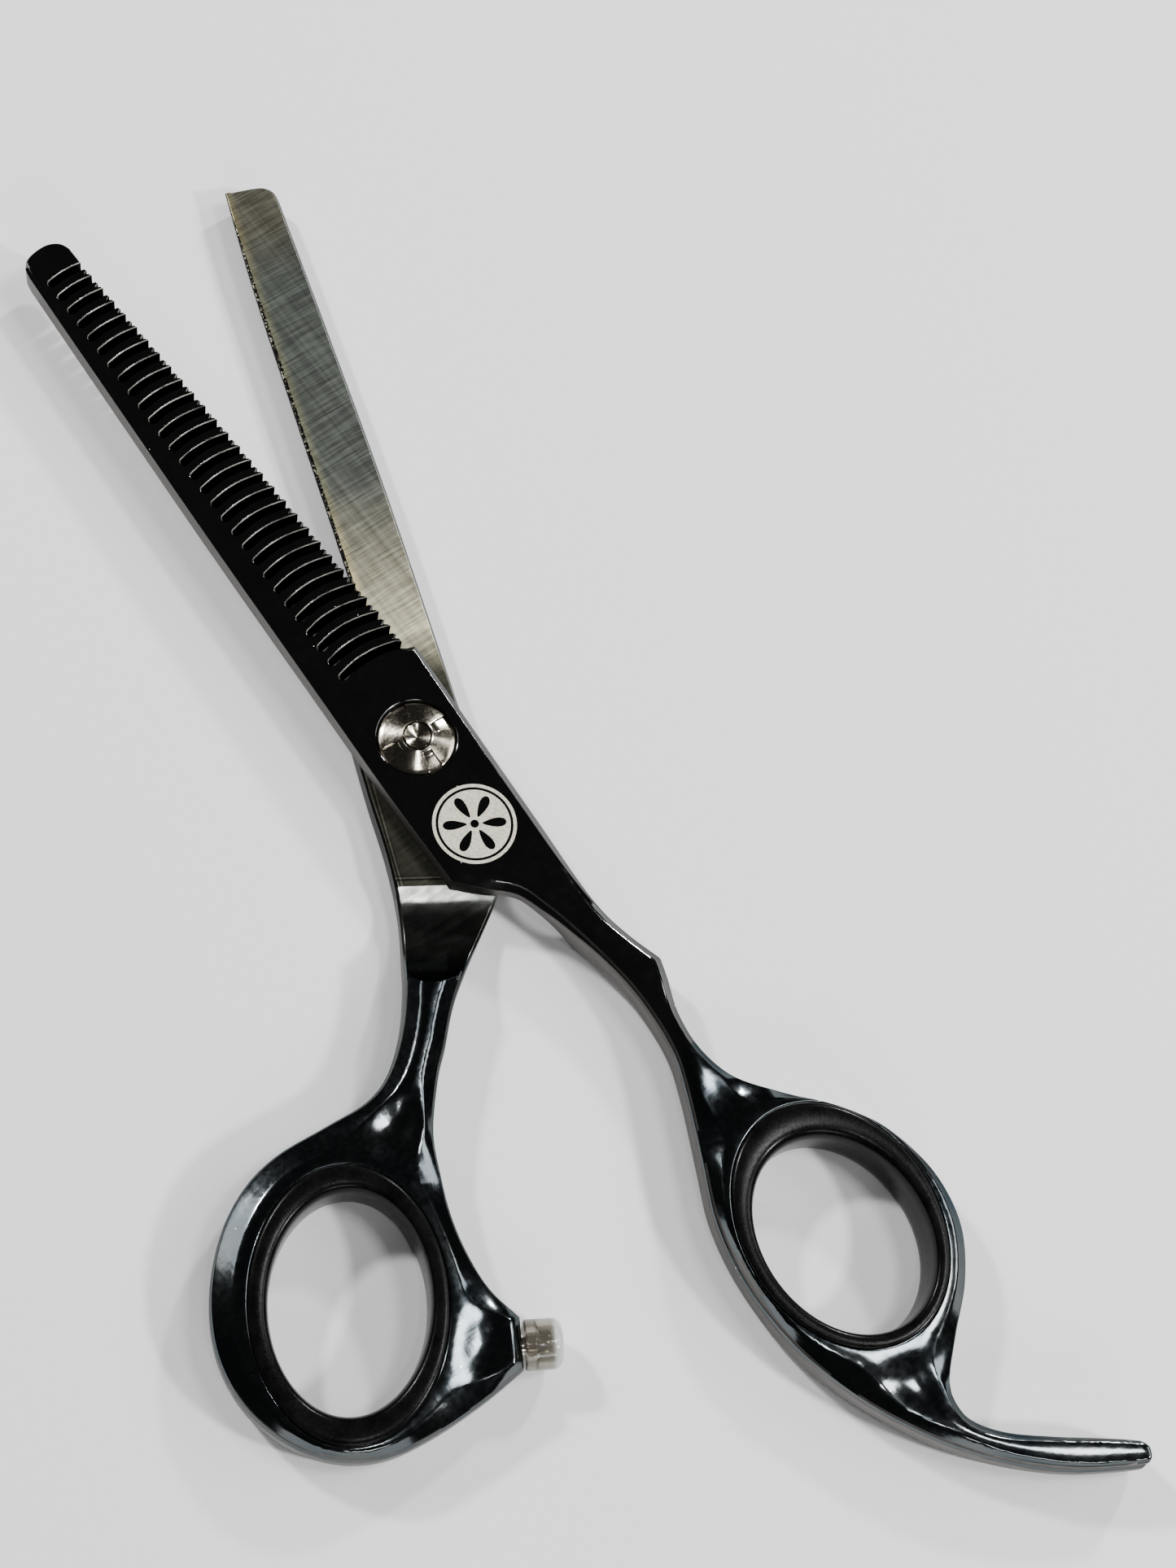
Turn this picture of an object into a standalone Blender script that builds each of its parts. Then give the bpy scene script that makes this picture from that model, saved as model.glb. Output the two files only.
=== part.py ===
"""Thinning shears, lying flat and open. Lengths are in millimetres until mesh_object() scales them.

The origin is on the pivot axis at the level of the table, +Y runs along the toothed blade to
its tip and +Z is up. The plain half is drawn in a frame of its own, in which its blade also
points along +Y, and an empty on the pivot axis turns it to the open rest pose.
"""

from math import atan, cos, pi, radians, sin, sqrt

import bpy
import numpy as np
from mathutils import Matrix, Vector
from mathutils.geometry import delaunay_2d_cdt

MM = 0.001

# Levels of the stack, from the table up.
LOWER_TOP = 3.2
UPPER_BOTTOM = 3.4
UPPER_TOP = 6.6
HANDLE_BOTTOM = 0.3
OPEN_ANGLE = 20.4

# Toothed edge.
SLOT_COUNT = 29
SLOT_PITCH = 1.97
FIRST_SLOT_Y = 65.4
SLOT_WIDTH = 0.86
SLOT_BOW = 0.046
SLOT_BOW_X = 0.85
NOTCH_DEPTH = 0.38
NOTCH_WIDTH = 0.5

HEEL_CORNER = (6.05, 8.6)
HEEL_SLOT_MOUTH_X = 5.4
TEETH_START_Y = 9.2
ROOT_MARGIN = 0.6

# Edges of the forgings.
BODY_CHAMFER = 0.45
BLADE_CHAMFER = 0.3
HANDLE_ROUND = 1.5
BOSS_ROUND = 0.5
BOSS_REACH = (3.0, 7.0)
LIP_SEAT_DEPTH = 0.3
LIP_SEAT_BELOW = 0.18
LIP_SEAT_REACH = (1.1, 1.4)

# Where each half's edges turn from the blade's to the handle's, along Y.
TOOTHED_BLEND = (-36.0, -17.0)
PLAIN_BLEND = (-34.0, -22.0)

# Hollow grind under the plain blade's cutting edge.
EDGE_BEVEL_DEPTH = 2.8
EDGE_BEVEL_WIDTH = 3.4
EDGE_BEVEL_START = (6.0, 16.0)
EDGE_LINE_START = 12.0

# The scoop ground across each neck, which lets the other half pass: the level of the face
# against the distance out from the pivot. Beyond it the handle has its full height.
SCOOP = [
    (13.0, 3.2), (15.0, 3.2), (16.9, 2.65), (18.0, 2.5), (19.5, 2.58), (21.0, 2.95), (22.5, 3.6),
    (24.0, 4.5), (25.3, 5.6), (26.3, 6.7),
]
SCOOP_LEAN = radians(12.2)
NECK_REACH = 14.0
NO_LIMIT = 99.0

# Pivot, from the screw's head up to the dial.
SHAFT_R, SHAFT_TOP, SHAFT_BORE_R = 2.1, 4.4, 2.3
SCREW_HEAD_R, SCREW_HEAD_SEAT_R = 4.0, 4.25
SCREW_HEAD_TOP, SCREW_HEAD_SEAT_TOP = 1.2, 1.4
SCREW_END_R, SCREW_END_TOP = 1.45, 7.05
WASHER_INNER_R, WASHER_OUTER_R, WASHER_SEAT_R = 2.4, 4.4, 4.6
WASHER_SEAT_Z, WASHER_LOW, WASHER_HIGH = 2.7, 2.8, 3.28
BUSH_INNER_R, BUSH_OUTER_R, BORE_R = 2.25, 2.75, 2.9
BUSH_LOW, BUSH_HIGH = 3.5, 4.55
COUNTERBORE_R, COUNTERBORE_FLOOR = 4.2, 4.65
PLATE_INNER_R, PLATE_OUTER_R = 1.6, 3.95
PLATE_LOW, PLATE_HIGH = 4.75, 5.05
SPRING_INNER_R, SPRING_OUTER_R, SPRING_LOW, SPRING_RISE, SPRING_THICKNESS = 1.7, 3.7, 5.15, 0.13, 0.25
DIAL_INNER_R, DIAL_FLAT_R, DIAL_R = 1.62, 1.95, 4.03
DIAL_LOW, DIAL_EDGE, DIAL_TOP = 5.65, 6.2, 7.15
GROOVE_COUNT, GROOVE_TURN, GROOVE_START, GROOVE_HALF_WIDTH, GROOVE_FLOOR = 4, 16, 2.0, 0.62, 6.05
CUT_PAST = 1.0

# Finger holes: centre x, centre y, half length, half width, lean of the long axis clockwise.
FINGER_RIM = (4.3, -65.1, 12.9, 10.15, 6.0)
FINGER_HOLE = (4.1, -66.1, 10.3, 8.3, 1.0)
THUMB_RIM = (-21.7, -54.0, 13.3, 9.6, 12.0)
THUMB_HOLE = (-21.55, -53.85, 10.55, 7.7, 15.0)
SEAT_SHARE = 0.66

# Middle lines of the hollows in the webs beside the rings, and how they fade out.
WEB_DEPTH, WEB_WIDTH, WEB_EDGE = 1.3, 4.2, (0.8, 3.0)
TANG_WEB = [(3.5, -81.5), (6.6, -79.5), (3.2, -84.5), (1.6, -84)]
BOSS_WEB = [(-11.3, -59.5), (-8.8, -61.5), (-11.8, -63.8)]

BUMPER_BASE = (-6.6, -61.9)
BUMPER_LEAN = radians(-12)
BUMPER_Z = 3.3
STUD_R, STUD_BORE_R, STUD_HEAD_R = 1.0, 1.15, 1.5
STUD_DEPTH, STUD_BORE_DEPTH, STUD_NECK, STUD_TOP = 3.3, 3.6, 1.7, 2.8
CAP_R, CAP_NECK_R, CAP_HOLLOW_R = 2.45, 1.2, 1.75
CAP_LOW, CAP_HOLLOW_LOW, CAP_HOLLOW_TOP, CAP_TOP = 0.3, 1.4, 3.05, 4.0

# Toothed half: tip, then down the spine, round the shank, finger ring and tang, and back up.
TOOTHED_TIP = [
    (2.35, 67.9), (1.9, 68.85), (0.9, 69.45), (-0.3, 69.55), (-1.9, 69.2), (-2.9, 68.4), (-3.2, 67.1),
]
TOOTHED_SPINE = [(-3.2, 67.1), (-4.1, 48), (-4.9, 30), (-5.5, 12), (-6.0, -4), (-6.1, -14.6)]
TOOTHED_LOW = [
    (-6.1, -14.6), (-3.6, -17.2), (-1.4, -19.4), (-0.3, -22), (0.7, -25), (1.9, -30), (2.4, -34.9),
    (1.9, -41), (0.3, -45.6), (-2.9, -52.3), (-5.3, -57.5), (-6.55, -63.3), (-6.8, -69.5), (-6.1, -74.5),
    (-4.1, -80.6), (-0.8, -87), (3.2, -92.4), (8.1, -97.1), (12.6, -100.2), (14.6, -101.4),
]
TANG_END = [(14.6, -101.4), (15.4, -101.2), (16.1, -99.8), (15.6, -98.7)]
TOOTHED_HIGH = [
    (15.6, -98.7), (12.5, -96.2), (9.0, -93.5), (5.6, -90.6), (3.6, -88), (3.1, -86), (3.9, -83.5),
    (7.3, -80.4), (11.5, -77), (14.7, -72.8), (16.0, -68.3), (15.9, -64), (14.7, -59.6), (12.0, -55.2),
    (8.6, -51.3), (5.6, -47.3), (4.5, -43), (4.95, -38.7), (6.3, -35.2), (7.0, -33.1),
]
TOOTHED_RIGHT = [
    (7.0, -33.1), (5.9, -29.6), (5.0, -25.5), (4.85, -20.5), (5.2, -11.9), (5.8, 1.2), (6.1, 8.3),
]

# Plain half, in its own frame: tip, then down the spine, round the bumper boss and thumb ring.
PLAIN_TIP = [(-2.6, 70.3), (0.6, 70.4), (1.9, 70.2), (2.8, 69.4), (3.1, 68)]
PLAIN_SPINE = [(3.1, 68), (4.1, 51), (5.1, 32), (5.7, 12), (6.0, 0), (6.1, -14.4)]
PLAIN_RIGHT = [
    (6.1, -14.4), (3.8, -17.9), (1.2, -21.2), (-1.25, -24.35), (-3.85, -28.1), (-5.8, -32.0), (-7.4, -35.0),
    (-9.2, -39.8), (-9.7, -44), (-9.8, -48.2), (-9.3, -52.2), (-8.2, -56), (-6.1, -59.4),
]
BOSS_END = [(-6.1, -59.4), (-7.1, -64.3)]
PLAIN_LEFT = [
    (-7.1, -64.3), (-11.6, -66.2), (-17, -67.9), (-22, -68.6), (-26.6, -67.5), (-30.7, -64.6),
    (-33.6, -60.3), (-34.8, -55.1), (-34.1, -49.6), (-31.8, -44.4), (-28.6, -40.6), (-24.7, -38.2),
    (-19.2, -36.6), (-14.9, -35.3), (-12.1, -33.1), (-9.5, -28.7), (-7.6, -23), (-6.3, -17.2),
    (-5.85, -11), (-6.0, -4), (-6.0, 2.5),
]
PLAIN_HEEL = [(-6.0, 2.5), (-4.6, 6.2), (-2.3, 9.6), (-1.3, 13.6)]
PLAIN_EDGE = [(-1.3, 13.6), (-1.7, 27), (-2.2, 42), (-2.65, 58), (-2.6, 70.3)]

STEEL = ("polished_steel", (0.10, 0.10, 0.11), 1.0, 0.12)
BRIGHT = ("bright_steel", (0.62, 0.60, 0.56), 1.0, 0.22)
BRONZE = ("sintered_bronze", (0.45, 0.28, 0.13), 1.0, 0.4)
RUBBER = ("black_rubber", (0.012, 0.012, 0.013), 0.0, 0.45)
NYLON = ("white_nylon", (0.75, 0.73, 0.68), 0.0, 0.5)
SILICONE = ("grey_silicone", (0.42, 0.42, 0.39), 0.0, 0.35)


def clear_scene():
    for obj in list(bpy.data.objects):
        bpy.data.objects.remove(obj, do_unlink=True)


def material(spec):
    name, colour, metallic, roughness = spec
    made = bpy.data.materials.get(name) or bpy.data.materials.new(name)
    made.use_nodes = True
    shader = made.node_tree.nodes["Principled BSDF"]
    shader.inputs["Base Color"].default_value = (*colour, 1)
    shader.inputs["Metallic"].default_value = metallic
    shader.inputs["Roughness"].default_value = roughness
    return made


def mesh_object(name, points, faces, look, parent=None):
    mesh = bpy.data.meshes.new(name)
    mesh.from_pydata([tuple(MM * c for c in p) for p in points], [], faces)
    mesh.validate()
    mesh.materials.append(material(look))
    obj = bpy.data.objects.new(name, mesh)
    bpy.context.scene.collection.objects.link(obj)
    obj.parent = parent
    return obj


def curve(points, step):
    """Catmull-Rom samples through the points, without the last one."""
    p = np.array([points[0]] + list(points) + [points[-1]], float)
    p[0] = 2 * p[1] - p[2]
    p[-1] = 2 * p[-2] - p[-3]
    out = []
    for k in range(1, len(p) - 2):
        count = max(1, round(np.linalg.norm(p[k + 1] - p[k]) / step))
        for t in np.arange(count) / count:
            out.append(
                0.5
                * (
                    2 * p[k]
                    + (p[k + 1] - p[k - 1]) * t
                    + (2 * p[k - 1] - 5 * p[k] + 4 * p[k + 1] - p[k + 2]) * t**2
                    + (3 * p[k] - p[k - 1] - 3 * p[k + 1] + p[k + 2]) * t**3
                )
            )
    return out


def oval(shape, count=44):
    x, y, half_length, half_width, lean = shape
    a = radians(lean)
    out = []
    for t in np.arange(count) * 2 * pi / count:
        u, v = half_length * cos(t), half_width * sin(t)
        out.append((x + u * sin(a) - v * cos(a), y + u * cos(a) + v * sin(a)))
    return np.array(out)


def between(hole, rim, share):
    return (1 - share) * oval(hole) + share * oval(rim)


def tooth_tip_x(y):
    return 5.36 - 0.0243 * y - 0.000337 * y * y


def slot_root_x(y):
    return -2.75 + 0.0125 * (y - 10)


def slot_wall(middle, x, offset):
    """Point beside a slot's bowed centre line, this far off it towards the tip."""
    slope = -2 * SLOT_BOW * (x - SLOT_BOW_X)
    length = sqrt(1 + slope * slope)
    y = middle - SLOT_BOW * (x - SLOT_BOW_X) ** 2
    return x - offset * slope / length, y + offset / length


def slot(middle, mouth_x):
    """Outline of one slot: in along its heel side, round the root and out along its tip side."""
    root_x = slot_root_x(middle) + SLOT_WIDTH / 2
    centre_x, centre_y = slot_wall(middle, root_x, 0)
    lean = atan(-2 * SLOT_BOW * (root_x - SLOT_BOW_X))
    runs = np.linspace(mouth_x, root_x, 5)
    heel_side = [slot_wall(middle, x, -SLOT_WIDTH / 2) for x in runs]
    root = []
    for turn in np.arange(1, 4) * pi / 4:
        angle = lean - pi / 2 - turn
        root.append((centre_x + SLOT_WIDTH / 2 * cos(angle), centre_y + SLOT_WIDTH / 2 * sin(angle)))
    tip_side = [slot_wall(middle, x, SLOT_WIDTH / 2) for x in runs[::-1]]
    return heel_side + root + tip_side


def toothed_edge():
    """From the body up to the tip, slot by slot, with a small notch in the end of each tooth."""
    out = [HEEL_CORNER]
    for k in reversed(range(SLOT_COUNT)):
        middle = FIRST_SLOT_Y - k * SLOT_PITCH
        heel = k == SLOT_COUNT - 1
        out += slot(middle, HEEL_SLOT_MOUTH_X if heel else tooth_tip_x(middle))
        if heel:
            # The front of the body reaches further out than the first tooth.
            out[-1] = (tooth_tip_x(middle), out[-1][1])
        if k > 0:
            tooth = middle + SLOT_PITCH / 2
            x, y = slot_wall(tooth, tooth_tip_x(tooth), 0)
            out += [(x, y - NOTCH_WIDTH / 2), (x - NOTCH_DEPTH, y), (x, y + NOTCH_WIDTH / 2)]
    return out


def segments(loops):
    ends = [(np.array(loop), np.roll(np.array(loop), -1, axis=0)) for loop in loops]
    return np.concatenate([a for a, _ in ends]), np.concatenate([b for _, b in ends])


def distance(points, loops):
    """Each point's distance to the nearest of the closed loops."""
    a, b = segments(loops)
    ab = b - a
    length2 = (ab**2).sum(1)
    best = np.empty(len(points))
    for start in range(0, len(points), 500):
        ap = points[start : start + 500, None] - a[None]
        t = np.clip((ap * ab).sum(2) / length2, 0, 1)
        gap = ap - t[..., None] * ab
        best[start : start + 500] = np.sqrt((gap**2).sum(2)).min(1)
    return best


def inside(points, loops):
    a, b = segments(loops)
    crossings = np.zeros(len(points), int)
    for (ax, ay), (bx, by) in zip(a, b):
        if ay == by:
            continue
        spans = (points[:, 1] >= min(ay, by)) & (points[:, 1] < max(ay, by))
        crossings += spans & (points[:, 0] < ax + (points[:, 1] - ay) * (bx - ax) / (by - ay))
    return crossings % 2 == 1


def smooth_step(value, low, high):
    t = np.clip((value - low) / (high - low), 0, 1)
    return t * t * (3 - 2 * t)


def quarter_round(gap, radius):
    """How far a rounded edge has dropped, at this distance in from the wall."""
    t = np.clip(1 - gap / radius, 0, 1)
    return radius * (1 - np.sqrt(1 - t * t))


def scoop_level(along):
    """Level of a neck's face against the distance out from the pivot: pad, scoop, then no limit."""
    reach, level = np.transpose(SCOOP)
    return np.where(along < reach[-1], np.interp(along, reach, level), NO_LIMIT)


def plan_mesh(outer, holes, rings, creases, grid, top, bottom):
    """A closed solid between two height fields over a plan outline. Rings are extra points at
    set distances in from the walls, creases are lines that the surface bends along, and grid
    points fill the broad areas."""
    loops = [outer] + holes
    points = [tuple(p) for loop in loops for p in loop]
    edges, start = [], 0
    for loop in loops:
        edges += [(start + k, start + (k + 1) % len(loop)) for k in range(len(loop))]
        start += len(loop)
    extra = []
    for loop in loops:
        p = np.array(loop)
        along = np.roll(p, -1, axis=0) - np.roll(p, 1, axis=0)
        normal = np.stack([-along[:, 1], along[:, 0]], 1) / np.linalg.norm(along, axis=1)[:, None]
        for steps in rings:
            gap = steps(p)
            moved = p + normal * gap[:, None]
            keep = (gap > 0) & inside(moved, loops)
            moved, gap = moved[keep], gap[keep]
            extra += [tuple(q) for q in moved[distance(moved, loops) > 0.96 * gap]]
    if len(grid):
        grid = grid[inside(grid, loops)]
        extra += [tuple(q) for q in grid[distance(grid, loops) > HANDLE_ROUND + 0.3]]
    points += extra
    for line in creases:
        edges.append((len(points), len(points) + 1))
        points += [tuple(line[0]), tuple(line[1])]
    made = delaunay_2d_cdt([Vector(p) for p in points], edges, [], 0, 1e-4, False)
    flat = np.array([tuple(v) for v in made[0]])
    faces = np.array([tuple(f) for f in made[2]])
    a, b, c = flat[faces[:, 0]], flat[faces[:, 1]], flat[faces[:, 2]]
    turn = (b - a)[:, 0] * (c - a)[:, 1] - (b - a)[:, 1] * (c - a)[:, 0]
    faces[turn < 0] = faces[turn < 0][:, ::-1]
    faces = faces[inside((a + b + c) / 3, loops)]
    used, faces = np.unique(faces, return_inverse=True)
    faces = faces.reshape(-1, 3)
    flat = flat[used]
    gap = distance(flat, loops)
    high, low = top(flat, gap, holes), bottom(flat, gap, holes)
    count = len(flat)
    solid = [(x, y, z) for (x, y), z in zip(flat, high)] + [(x, y, z) for (x, y), z in zip(flat, low)]
    out = [tuple(int(k) for k in f) for f in faces]
    out += [(f[2] + count, f[1] + count, f[0] + count) for f in out]
    directed = {(f[k], f[(k + 1) % 3]) for f in faces.tolist() for k in range(3)}
    walls = [(i, j) for i, j in directed if (j, i) not in directed]
    out += [(i + count, j + count, j, i) for i, j in sorted(walls)]
    return solid, out


def edge_drop(gap, handle, chamfer, radius):
    """Fall of a face towards its wall: a flat chamfer on the blade, a round edge on the handle."""
    return (1 - handle) * np.maximum(chamfer - gap, 0) + handle * quarter_round(gap, radius)


def lip_seat(flat, holes):
    """1 beside the finger hole, where the face steps down to take the insert's lip, else 0."""
    return 1 - smooth_step(distance(flat, holes), *LIP_SEAT_REACH)


def web(flat, gap, line):
    """Hollow ground into a broad part of the handle, along a line and fading out beside it."""
    from_line = distance(flat, [np.array(line)])
    return WEB_DEPTH * (1 - smooth_step(from_line, 0, WEB_WIDTH)) * smooth_step(gap, *WEB_EDGE)


def cross_line(distance_out, lean):
    """Ends of a line square to the neck, this far out from the pivot."""
    out = np.array([sin(lean), -cos(lean)])
    side = np.array([cos(lean), sin(lean)])
    return out * distance_out - NECK_REACH * side, out * distance_out + NECK_REACH * side


def scoop_creases(lean):
    return [cross_line(reach, lean) for reach, _ in SCOOP[1:]]


def handle_rings(reach, shares=(0.25, 1)):
    return [lambda p, share=share: reach(p, share) for share in shares]


def square_grid(x0, x1, y0, y1, step=2.4):
    return np.array([(x, y) for x in np.arange(x0, x1, step) for y in np.arange(y0, y1, step)])


def toothed_half():
    """Upper forging: toothed blade, body, shank, finger ring and tang."""
    outer = (
        curve(TOOTHED_TIP, 0.9) + curve(TOOTHED_SPINE, 5) + curve(TOOTHED_LOW, 1.8)
        + curve(TANG_END, 0.9) + curve(TOOTHED_HIGH, 1.8) + curve(TOOTHED_RIGHT, 2)
        + toothed_edge()
    )
    seat = [tuple(p) for p in between(FINGER_HOLE, FINGER_RIM, SEAT_SHARE)[::-1]]

    def handle(flat):
        return 1 - smooth_step(flat[:, 1], *TOOTHED_BLEND)

    def toothed(flat):
        return (flat[:, 1] > TEETH_START_Y) & (flat[:, 0] > slot_root_x(flat[:, 1]) - ROOT_MARGIN)

    def reach(flat, share):
        on_handle = handle(flat)
        wide = (1 - on_handle) * BODY_CHAMFER + on_handle * HANDLE_ROUND * share
        return np.where(toothed(flat) | ((on_handle < 0.01) & (share < 1)), 0, wide)

    def top(flat, gap, holes):
        chamfer = np.where(toothed(flat), 0, BODY_CHAMFER)
        hollow = np.maximum(LIP_SEAT_DEPTH * lip_seat(flat, holes), web(flat, gap, TANG_WEB))
        return UPPER_TOP - edge_drop(gap, handle(flat), chamfer, HANDLE_ROUND) - hollow

    def bottom(flat, gap, holes):
        along = flat[:, 0] * sin(SCOOP_LEAN) - flat[:, 1] * cos(SCOOP_LEAN)
        pad = UPPER_BOTTOM + LOWER_TOP - scoop_level(along)
        base = HANDLE_BOTTOM + edge_drop(gap, handle(flat), 0, HANDLE_ROUND)
        return np.maximum(pad, base + LIP_SEAT_BELOW * lip_seat(flat, holes))

    points, faces = plan_mesh(
        outer, [seat], handle_rings(reach), scoop_creases(SCOOP_LEAN),
        square_grid(-6, 16, -100, -32), top, bottom,
    )
    return mesh_object("toothed_blade", points, faces, STEEL)


def plain_half(parent):
    """Lower forging: plain blade, body, neck, shank, thumb ring and bumper boss."""
    outer = (
        curve(PLAIN_TIP[::-1], 0.9) + curve(PLAIN_EDGE[::-1], 5) + curve(PLAIN_HEEL[::-1], 1.2)
        + curve(PLAIN_LEFT[::-1], 1.8) + curve(BOSS_END[::-1], 1.3) + curve(PLAIN_RIGHT[::-1], 1.8)
        + curve(PLAIN_SPINE[::-1], 5)
    )
    seat = [tuple(p) for p in between(THUMB_HOLE, THUMB_RIM, SEAT_SHARE)[::-1]]
    edge_line = [np.array(PLAIN_EDGE)]

    def handle(flat):
        return 1 - smooth_step(flat[:, 1], *PLAIN_BLEND)

    def radius(flat):
        from_boss = np.hypot(flat[:, 0] - BUMPER_BASE[0], flat[:, 1] - BUMPER_BASE[1])
        return BOSS_ROUND + (HANDLE_ROUND - BOSS_ROUND) * smooth_step(from_boss, *BOSS_REACH)

    def reach(flat, share):
        on_handle = handle(flat)
        wide = (1 - on_handle) * BLADE_CHAMFER + on_handle * radius(flat) * share
        return np.where((on_handle < 0.01) & (share < 1), 0, wide)

    def top(flat, gap, holes):
        along = -flat[:, 0] * sin(SCOOP_LEAN) - flat[:, 1] * cos(SCOOP_LEAN)
        hollow = np.maximum(LIP_SEAT_DEPTH * lip_seat(flat, holes), web(flat, gap, BOSS_WEB))
        full = UPPER_TOP - edge_drop(gap, handle(flat), 0, radius(flat)) - hollow
        return np.minimum(scoop_level(along), full)

    def bottom(flat, gap, holes):
        on_handle = handle(flat)
        bevel = EDGE_BEVEL_DEPTH * np.clip(1 - distance(flat, edge_line) / EDGE_BEVEL_WIDTH, 0, 1)
        bevel *= smooth_step(flat[:, 1], *EDGE_BEVEL_START)
        base = on_handle * HANDLE_BOTTOM + edge_drop(gap, on_handle, BLADE_CHAMFER, radius(flat))
        return np.maximum(base + LIP_SEAT_BELOW * lip_seat(flat, holes), bevel)

    def beside_edge(flat):
        return np.where((flat[:, 0] < 0) & (flat[:, 1] > EDGE_LINE_START), EDGE_BEVEL_WIDTH, 0)

    points, faces = plan_mesh(
        outer, [seat], handle_rings(reach) + [beside_edge], scoop_creases(-SCOOP_LEAN),
        square_grid(-34, -6, -68, -34), top, bottom,
    )
    return mesh_object("plain_blade", points, faces, STEEL, parent)


def lathe(name, profile, look, parent=None, steps=32, place=None):
    """Turns a closed (radius, height) profile round the Z axis; radius 0 makes a pole."""
    points, faces, rows = [], [], []
    for radius, height in profile:
        if radius == 0:
            rows.append([len(points)] * steps)
            points.append((0, 0, height))
        else:
            rows.append(list(range(len(points), len(points) + steps)))
            points += [(radius * cos(t), radius * sin(t), height) for t in np.arange(steps) * 2 * pi / steps]
    closed = profile[0][0] > 0
    for k in range(len(rows) if closed else len(rows) - 1):
        a, b = rows[k], rows[(k + 1) % len(rows)]
        for i in range(steps):
            j = (i + 1) % steps
            face = list(dict.fromkeys([a[i], a[j], b[j], b[i]]))
            if len(face) > 2:
                faces.append(face)
    if place:
        points = [tuple(place @ Vector(p)) for p in points]
    return mesh_object(name, points, faces, look, parent)


def ring(name, inner, outer, low, high, look, parent=None):
    return lathe(name, [(inner, low), (outer, low), (outer, high), (inner, high)], look, parent)


def cutter(name, radius, low, high, parent=None, place=None):
    made = lathe(name, [(0, low), (radius, low), (radius, high), (0, high)], STEEL, parent, place=place)
    made.hide_render = True
    made.display_type = "WIRE"
    return made


def cut(target, tool):
    modifier = target.modifiers.new(tool.name, "BOOLEAN")
    modifier.operation = "DIFFERENCE"
    modifier.solver = "EXACT"
    modifier.object = tool


def insert(name, hole, rim, parent=None):
    """Rubber bush with a lip over both faces of its ring. Its section is a list of shares of
    the way from the hole to the rim, with heights."""
    section = [
        (0.12, 0.3), (0, 1.5), (0, 5.2), (0.12, 6.4), (0.5, 6.85), (0.9, 6.75), (0.97, 6.5),
        (0.55, 6.5), (0.55, 0.25), (0.97, 0.25), (0.9, 0), (0.4, 0),
    ]
    points = []
    for share, height in section:
        points += [(x, y, height) for x, y in between(hole, rim, share)]
    count, rows = len(oval(hole)), len(section)
    faces = []
    for k in range(rows):
        for i in range(count):
            j, m = (i + 1) % count, (k + 1) % rows
            faces.append((k * count + j, k * count + i, m * count + i, m * count + j))
    return mesh_object(name, points, faces, RUBBER, parent)


def bumper_place():
    """Carries +Z of a turned piece onto the bumper's axis."""
    across_turn = Matrix.Rotation(pi / 2, 4, "Y")
    lean = Matrix.Rotation(BUMPER_LEAN, 4, "Z")
    return Matrix.Translation((*BUMPER_BASE, BUMPER_Z)) @ lean @ across_turn


def dial(parent):
    """Conical tension dial with radial grooves, round the end of the pivot screw."""
    body = lathe(
        "tension_dial",
        [(DIAL_R, DIAL_LOW), (DIAL_R, DIAL_EDGE), (DIAL_R - 0.15, DIAL_EDGE + 0.15),
         (DIAL_FLAT_R, DIAL_TOP), (DIAL_INNER_R, DIAL_TOP), (DIAL_INNER_R, DIAL_LOW)],
        BRIGHT, parent, 48,
    )
    shape = box(
        GROOVE_START, DIAL_R + CUT_PAST, -GROOVE_HALF_WIDTH, GROOVE_HALF_WIDTH,
        GROOVE_FLOOR, DIAL_TOP + CUT_PAST,
    )
    for k in range(GROOVE_COUNT):
        tool = mesh_object("dial_groove_%d" % (k + 1), *shape, BRIGHT, parent)
        tool.rotation_euler.z = radians(GROOVE_TURN + 360 * k / GROOVE_COUNT)
        tool.hide_render = True
        tool.display_type = "WIRE"
        cut(body, tool)
    return body


def box(x0, x1, y0, y1, z0, z1):
    points = [(x, y, z) for z in (z0, z1) for x, y in ((x0, y0), (x1, y0), (x1, y1), (x0, y1))]
    faces = [(3, 2, 1, 0), (4, 5, 6, 7), (0, 1, 5, 4), (1, 2, 6, 5), (2, 3, 7, 6), (3, 0, 4, 7)]
    return points, faces


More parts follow.
